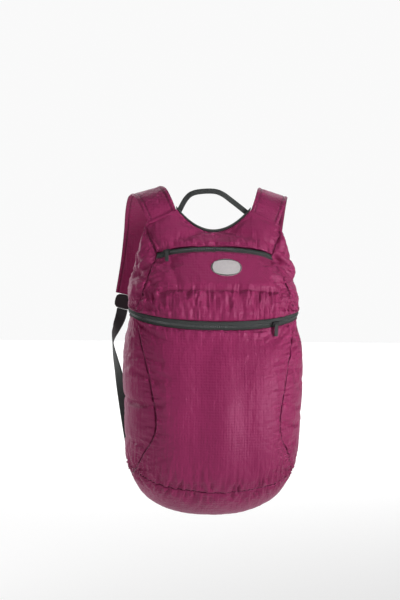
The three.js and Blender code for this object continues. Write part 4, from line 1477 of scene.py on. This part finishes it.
def strap_relief(a, b):
    """Hems along both edges of a strap and puckers between them, in millimetres."""
    edge = min(a, 1 - a)
    groove = bell(edge - STITCH_SHARE, STITCH_GROOVE["spread"])
    hem = HEM["height"] * bell(edge - HEM["place"], HEM["spread"])
    near = math.exp(-abs(edge - STITCH_SHARE) / STRAP_PUCKERS["reach"])
    wave = crease(b * STRAP_PUCKERS["along"], a * STRAP_PUCKERS["across"], STRAP_PUCKERS["seed"])
    height = STRAP_PUCKERS["all"] + STRAP_PUCKERS["by_hem"] * near
    pucker = wave * height * min(1, edge / STRAP_PUCKERS["edge"]) * (1 - groove)
    swell = noise.noise(Vector((a * STRAP_SWELL["across"], b * STRAP_SWELL["along"],
                                STRAP_SWELL["seed"])))
    rounding = STRAP_EDGE["depth"] * bell(edge, STRAP_EDGE["spread"])
    return hem + pucker + swell * math.sin(math.pi * a) - STITCH_GROOVE["depth"] * groove - rounding


class BACKPACK_OT_straps(bpy.types.Operator):
    """Builds both shoulder straps and their webbing"""

    bl_idname = "backpack.straps"
    bl_label = "Straps"

    def execute(self, context):
        cloth, tape = material_named("plum_nylon"), material_named("black_tape")
        strap = band_bmesh(STRAP_PATH, STRAP_WIDTH, STRAP_THICKNESS - 1, *STRAP_CELLS,
                           tilt_across(STRAP_PATH), strap_relief)
        # Painted shade and a darker stitch line along the strap's stitch grooves
        mark_painted_stitch_shade(strap)
        webbing = band_bmesh(WEBBING_PATH, WEBBING_WIDTH, CLOTH, *WEBBING_CELLS,
                             facing_across(WEBBING_PATH), plain_relief)
        for bm, kind, slot, material in (
            (strap, "shoulder_strap", "cloth", cloth),
            (webbing, "strap_webbing", "tape", tape),
        ):
            left = object_from(mirrored(bm), f"{kind}_left_band")
            right = object_from(bm, f"{kind}_right_band")
            finish_piece(left, slot, material, f"{kind}_left")
            finish_piece(right, slot, material, f"{kind}_right")
        self.add_stitching()
        return {"FINISHED"}

    def add_stitching(self):
        """Stitches along both hems, on both faces of each strap."""
        bm = bmesh.new()
        steps = STRAP_STITCHES["steps"]
        across = tilt_across(STRAP_PATH)
        for a in (STITCH_SHARE, 1 - STITCH_SHARE):
            for side in (1, -1):
                height = side * (STRAP_THICKNESS / 2 - 1)
                add_stitches(bm, [
                    band_point(STRAP_PATH, STRAP_WIDTH, across, a, step / steps, height)
                    for step in range(STRAP_STITCHES["first"], steps - STRAP_STITCHES["last"])])
        left = object_from(mirrored(bm), "strap_stitching_left")
        right = object_from(bm, "strap_stitching_right")
        for piece in (left, right):
            finish_piece(piece, "cloth", material_named("plum_thread"))


# Bound neckline, and the oval label with the stitches round its edge, in millimetres
BINDING = {"half_depth": 3.2, "half_height": 2.4, "above_edge": 2}
BINDING_CELLS = (72, 16)
SAME_PLACE = 0.01 * MM
LABEL = {
    "x": 0.107 * HALF_WIDTH,
    "drop": 0.2315 * PACK_DROP,
    "half_length": 0.175 * HALF_WIDTH,
    "half_height": 0.0925 * HALF_WIDTH,
    "raised": 1.2,
    "thickness": 1.1,
}
LABEL_CELLS = (40, 22)
BORDER = {"long": 64, "short": 34, "inset_a": 0.1, "inset_b": 0.16, "fullness": 1.25}

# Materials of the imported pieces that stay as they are, by a word in their names
HARD_MATERIALS = {"slider": "black_plastic", "buckle": "black_plastic", "pull": "black_tape"}


class BACKPACK_OT_trims(bpy.types.Operator):
    """Builds the grab loop, the neckline binding and the label"""

    bl_idname = "backpack.trims"
    bl_label = "Trims"

    def execute(self, context):
        tape = material_named("black_tape")
        loop = object_from(
            band_bmesh(LOOP_PATH, LOOP_WIDTH, CLOTH, *LOOP_CELLS, loop_across, plain_relief),
            "grab_loop_tape")
        finish_piece(loop, "tape", tape, "grab_loop")
        self.add_binding(tape)
        self.add_label()
        return {"FINISHED"}

    def add_binding(self, tape):
        middle = -SHOULDER_TO_BACK + (CLOTH - LAYER) / 2

        def place(a, b):
            x = EAR_HALF * level_slice((2 * a - 1) * NECK_TURN, FLAT_WRAP)[0]
            angle = lerp(-0.5, 1.5, b) * math.pi
            y = middle - BINDING["half_depth"] * math.cos(angle)
            z = STRAP_THICKNESS - top_drop(x) + SEAM_GAP + BINDING["above_edge"]
            z += BINDING["half_height"] * math.sin(angle)
            return Vector((x, y, z)) * MM

        bm = grid_bmesh(*BINDING_CELLS, place)
        bmesh.ops.remove_doubles(bm, verts=bm.verts, dist=SAME_PLACE)
        bmesh.ops.holes_fill(bm, edges=[edge for edge in bm.edges if edge.is_boundary])
        face_outwards(bm)
        finish_piece(object_from(bm, "neckline_binding_tape"), "tape", tape, "neckline_binding")

    def add_label(self):
        def place(a, b):
            s, t = 2 * a - 1, 2 * b - 1
            x = LABEL["x"] + LABEL["half_length"] * s * math.sqrt(1 - t * t / 2)
            drop = LABEL["drop"] + LABEL["half_height"] * t * math.sqrt(1 - s * s / 2)
            return on_cloth(x * MM, (STRAP_THICKNESS - drop) * MM, LABEL["raised"] * MM)

        label = object_from(grid_bmesh(*LABEL_CELLS, place), "label_patch_cloth")
        thicken(label, LABEL["thickness"] * MM)
        finish_piece(label, "label", material_named("pale_label"), "label_patch")
        bm = bmesh.new()
        corners = ((0, 0), (1, 0), (1, 1), (0, 1), (0, 0))
        for side, (start, end) in enumerate(zip(corners, corners[1:])):
            count = BORDER["short"] if side % 2 else BORDER["long"]
            for step in range(count):
                a = lerp(start[0], end[0], step / count)
                b = lerp(start[1], end[1], step / count)
                inner = place(lerp(a, 0.5, BORDER["inset_a"]), lerp(b, 0.5, BORDER["inset_b"]))
                add_stitch(bm, place(a, b), inner, BORDER["fullness"])
        finish_piece(object_from(bm, "label_border"), "label", material_named("border_thread"))


class BACKPACK_OT_hard_parts(bpy.types.Operator):
    """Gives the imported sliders, pulls and buckles their materials"""

    bl_idname = "backpack.hard_parts"
    bl_label = "Sliders and Buckles"

    def execute(self, context):
        for node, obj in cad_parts.items():
            for word, material in HARD_MATERIALS.items():
                if word in node:
                    obj.data.materials.clear()
                    obj.data.materials.append(material_named(material))
        return {"FINISHED"}


class BACKPACK_PT_panel(bpy.types.Panel):
    """Lists the steps and the values that they use"""

    bl_idname = "BACKPACK_PT_panel"
    bl_label = "Packable Backpack"
    bl_space_type = "VIEW_3D"
    bl_region_type = "UI"
    bl_category = "Backpack"

    def draw(self, context):
        for group in ("backpack_sizes", "backpack_colours", "backpack_stage"):
            values = getattr(context.scene, group)
            box = self.layout.box()
            for name in values.bl_rna.properties.keys():
                if name not in {"rna_type", "name"}:
                    box.prop(values, name)
        for operator in OPERATORS:
            self.layout.operator(operator.bl_idname)


GROUPS = {
    "backpack_sizes": BackpackSizes,
    "backpack_colours": BackpackColours,
    "backpack_stage": BackpackStage,
}
OPERATORS = (
    BACKPACK_OT_stage,
    BACKPACK_OT_cloth_body,
    BACKPACK_OT_back_panel,
    BACKPACK_OT_zips,
    BACKPACK_OT_straps,
    BACKPACK_OT_trims,
    BACKPACK_OT_hard_parts,
)


def register():
    for group in GROUPS.values():
        bpy.utils.register_class(group)
    for operator in OPERATORS:
        bpy.utils.register_class(operator)
    bpy.utils.register_class(BACKPACK_PT_panel)
    for name, group in GROUPS.items():
        setattr(bpy.types.Scene, name, PointerProperty(type=group))


def unregister():
    for name in GROUPS:
        delattr(bpy.types.Scene, name)
    bpy.utils.unregister_class(BACKPACK_PT_panel)
    for operator in reversed(OPERATORS):
        bpy.utils.unregister_class(operator)
    for group in reversed(GROUPS.values()):
        bpy.utils.unregister_class(group)


def main():
    register()
    bpy.ops.backpack.stage()
    bpy.ops.backpack.cloth_body()
    bpy.ops.backpack.back_panel()
    bpy.ops.backpack.zips()
    bpy.ops.backpack.straps()
    bpy.ops.backpack.trims()
    bpy.ops.backpack.hard_parts()
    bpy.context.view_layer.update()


if __name__ == "__main__":
    main()
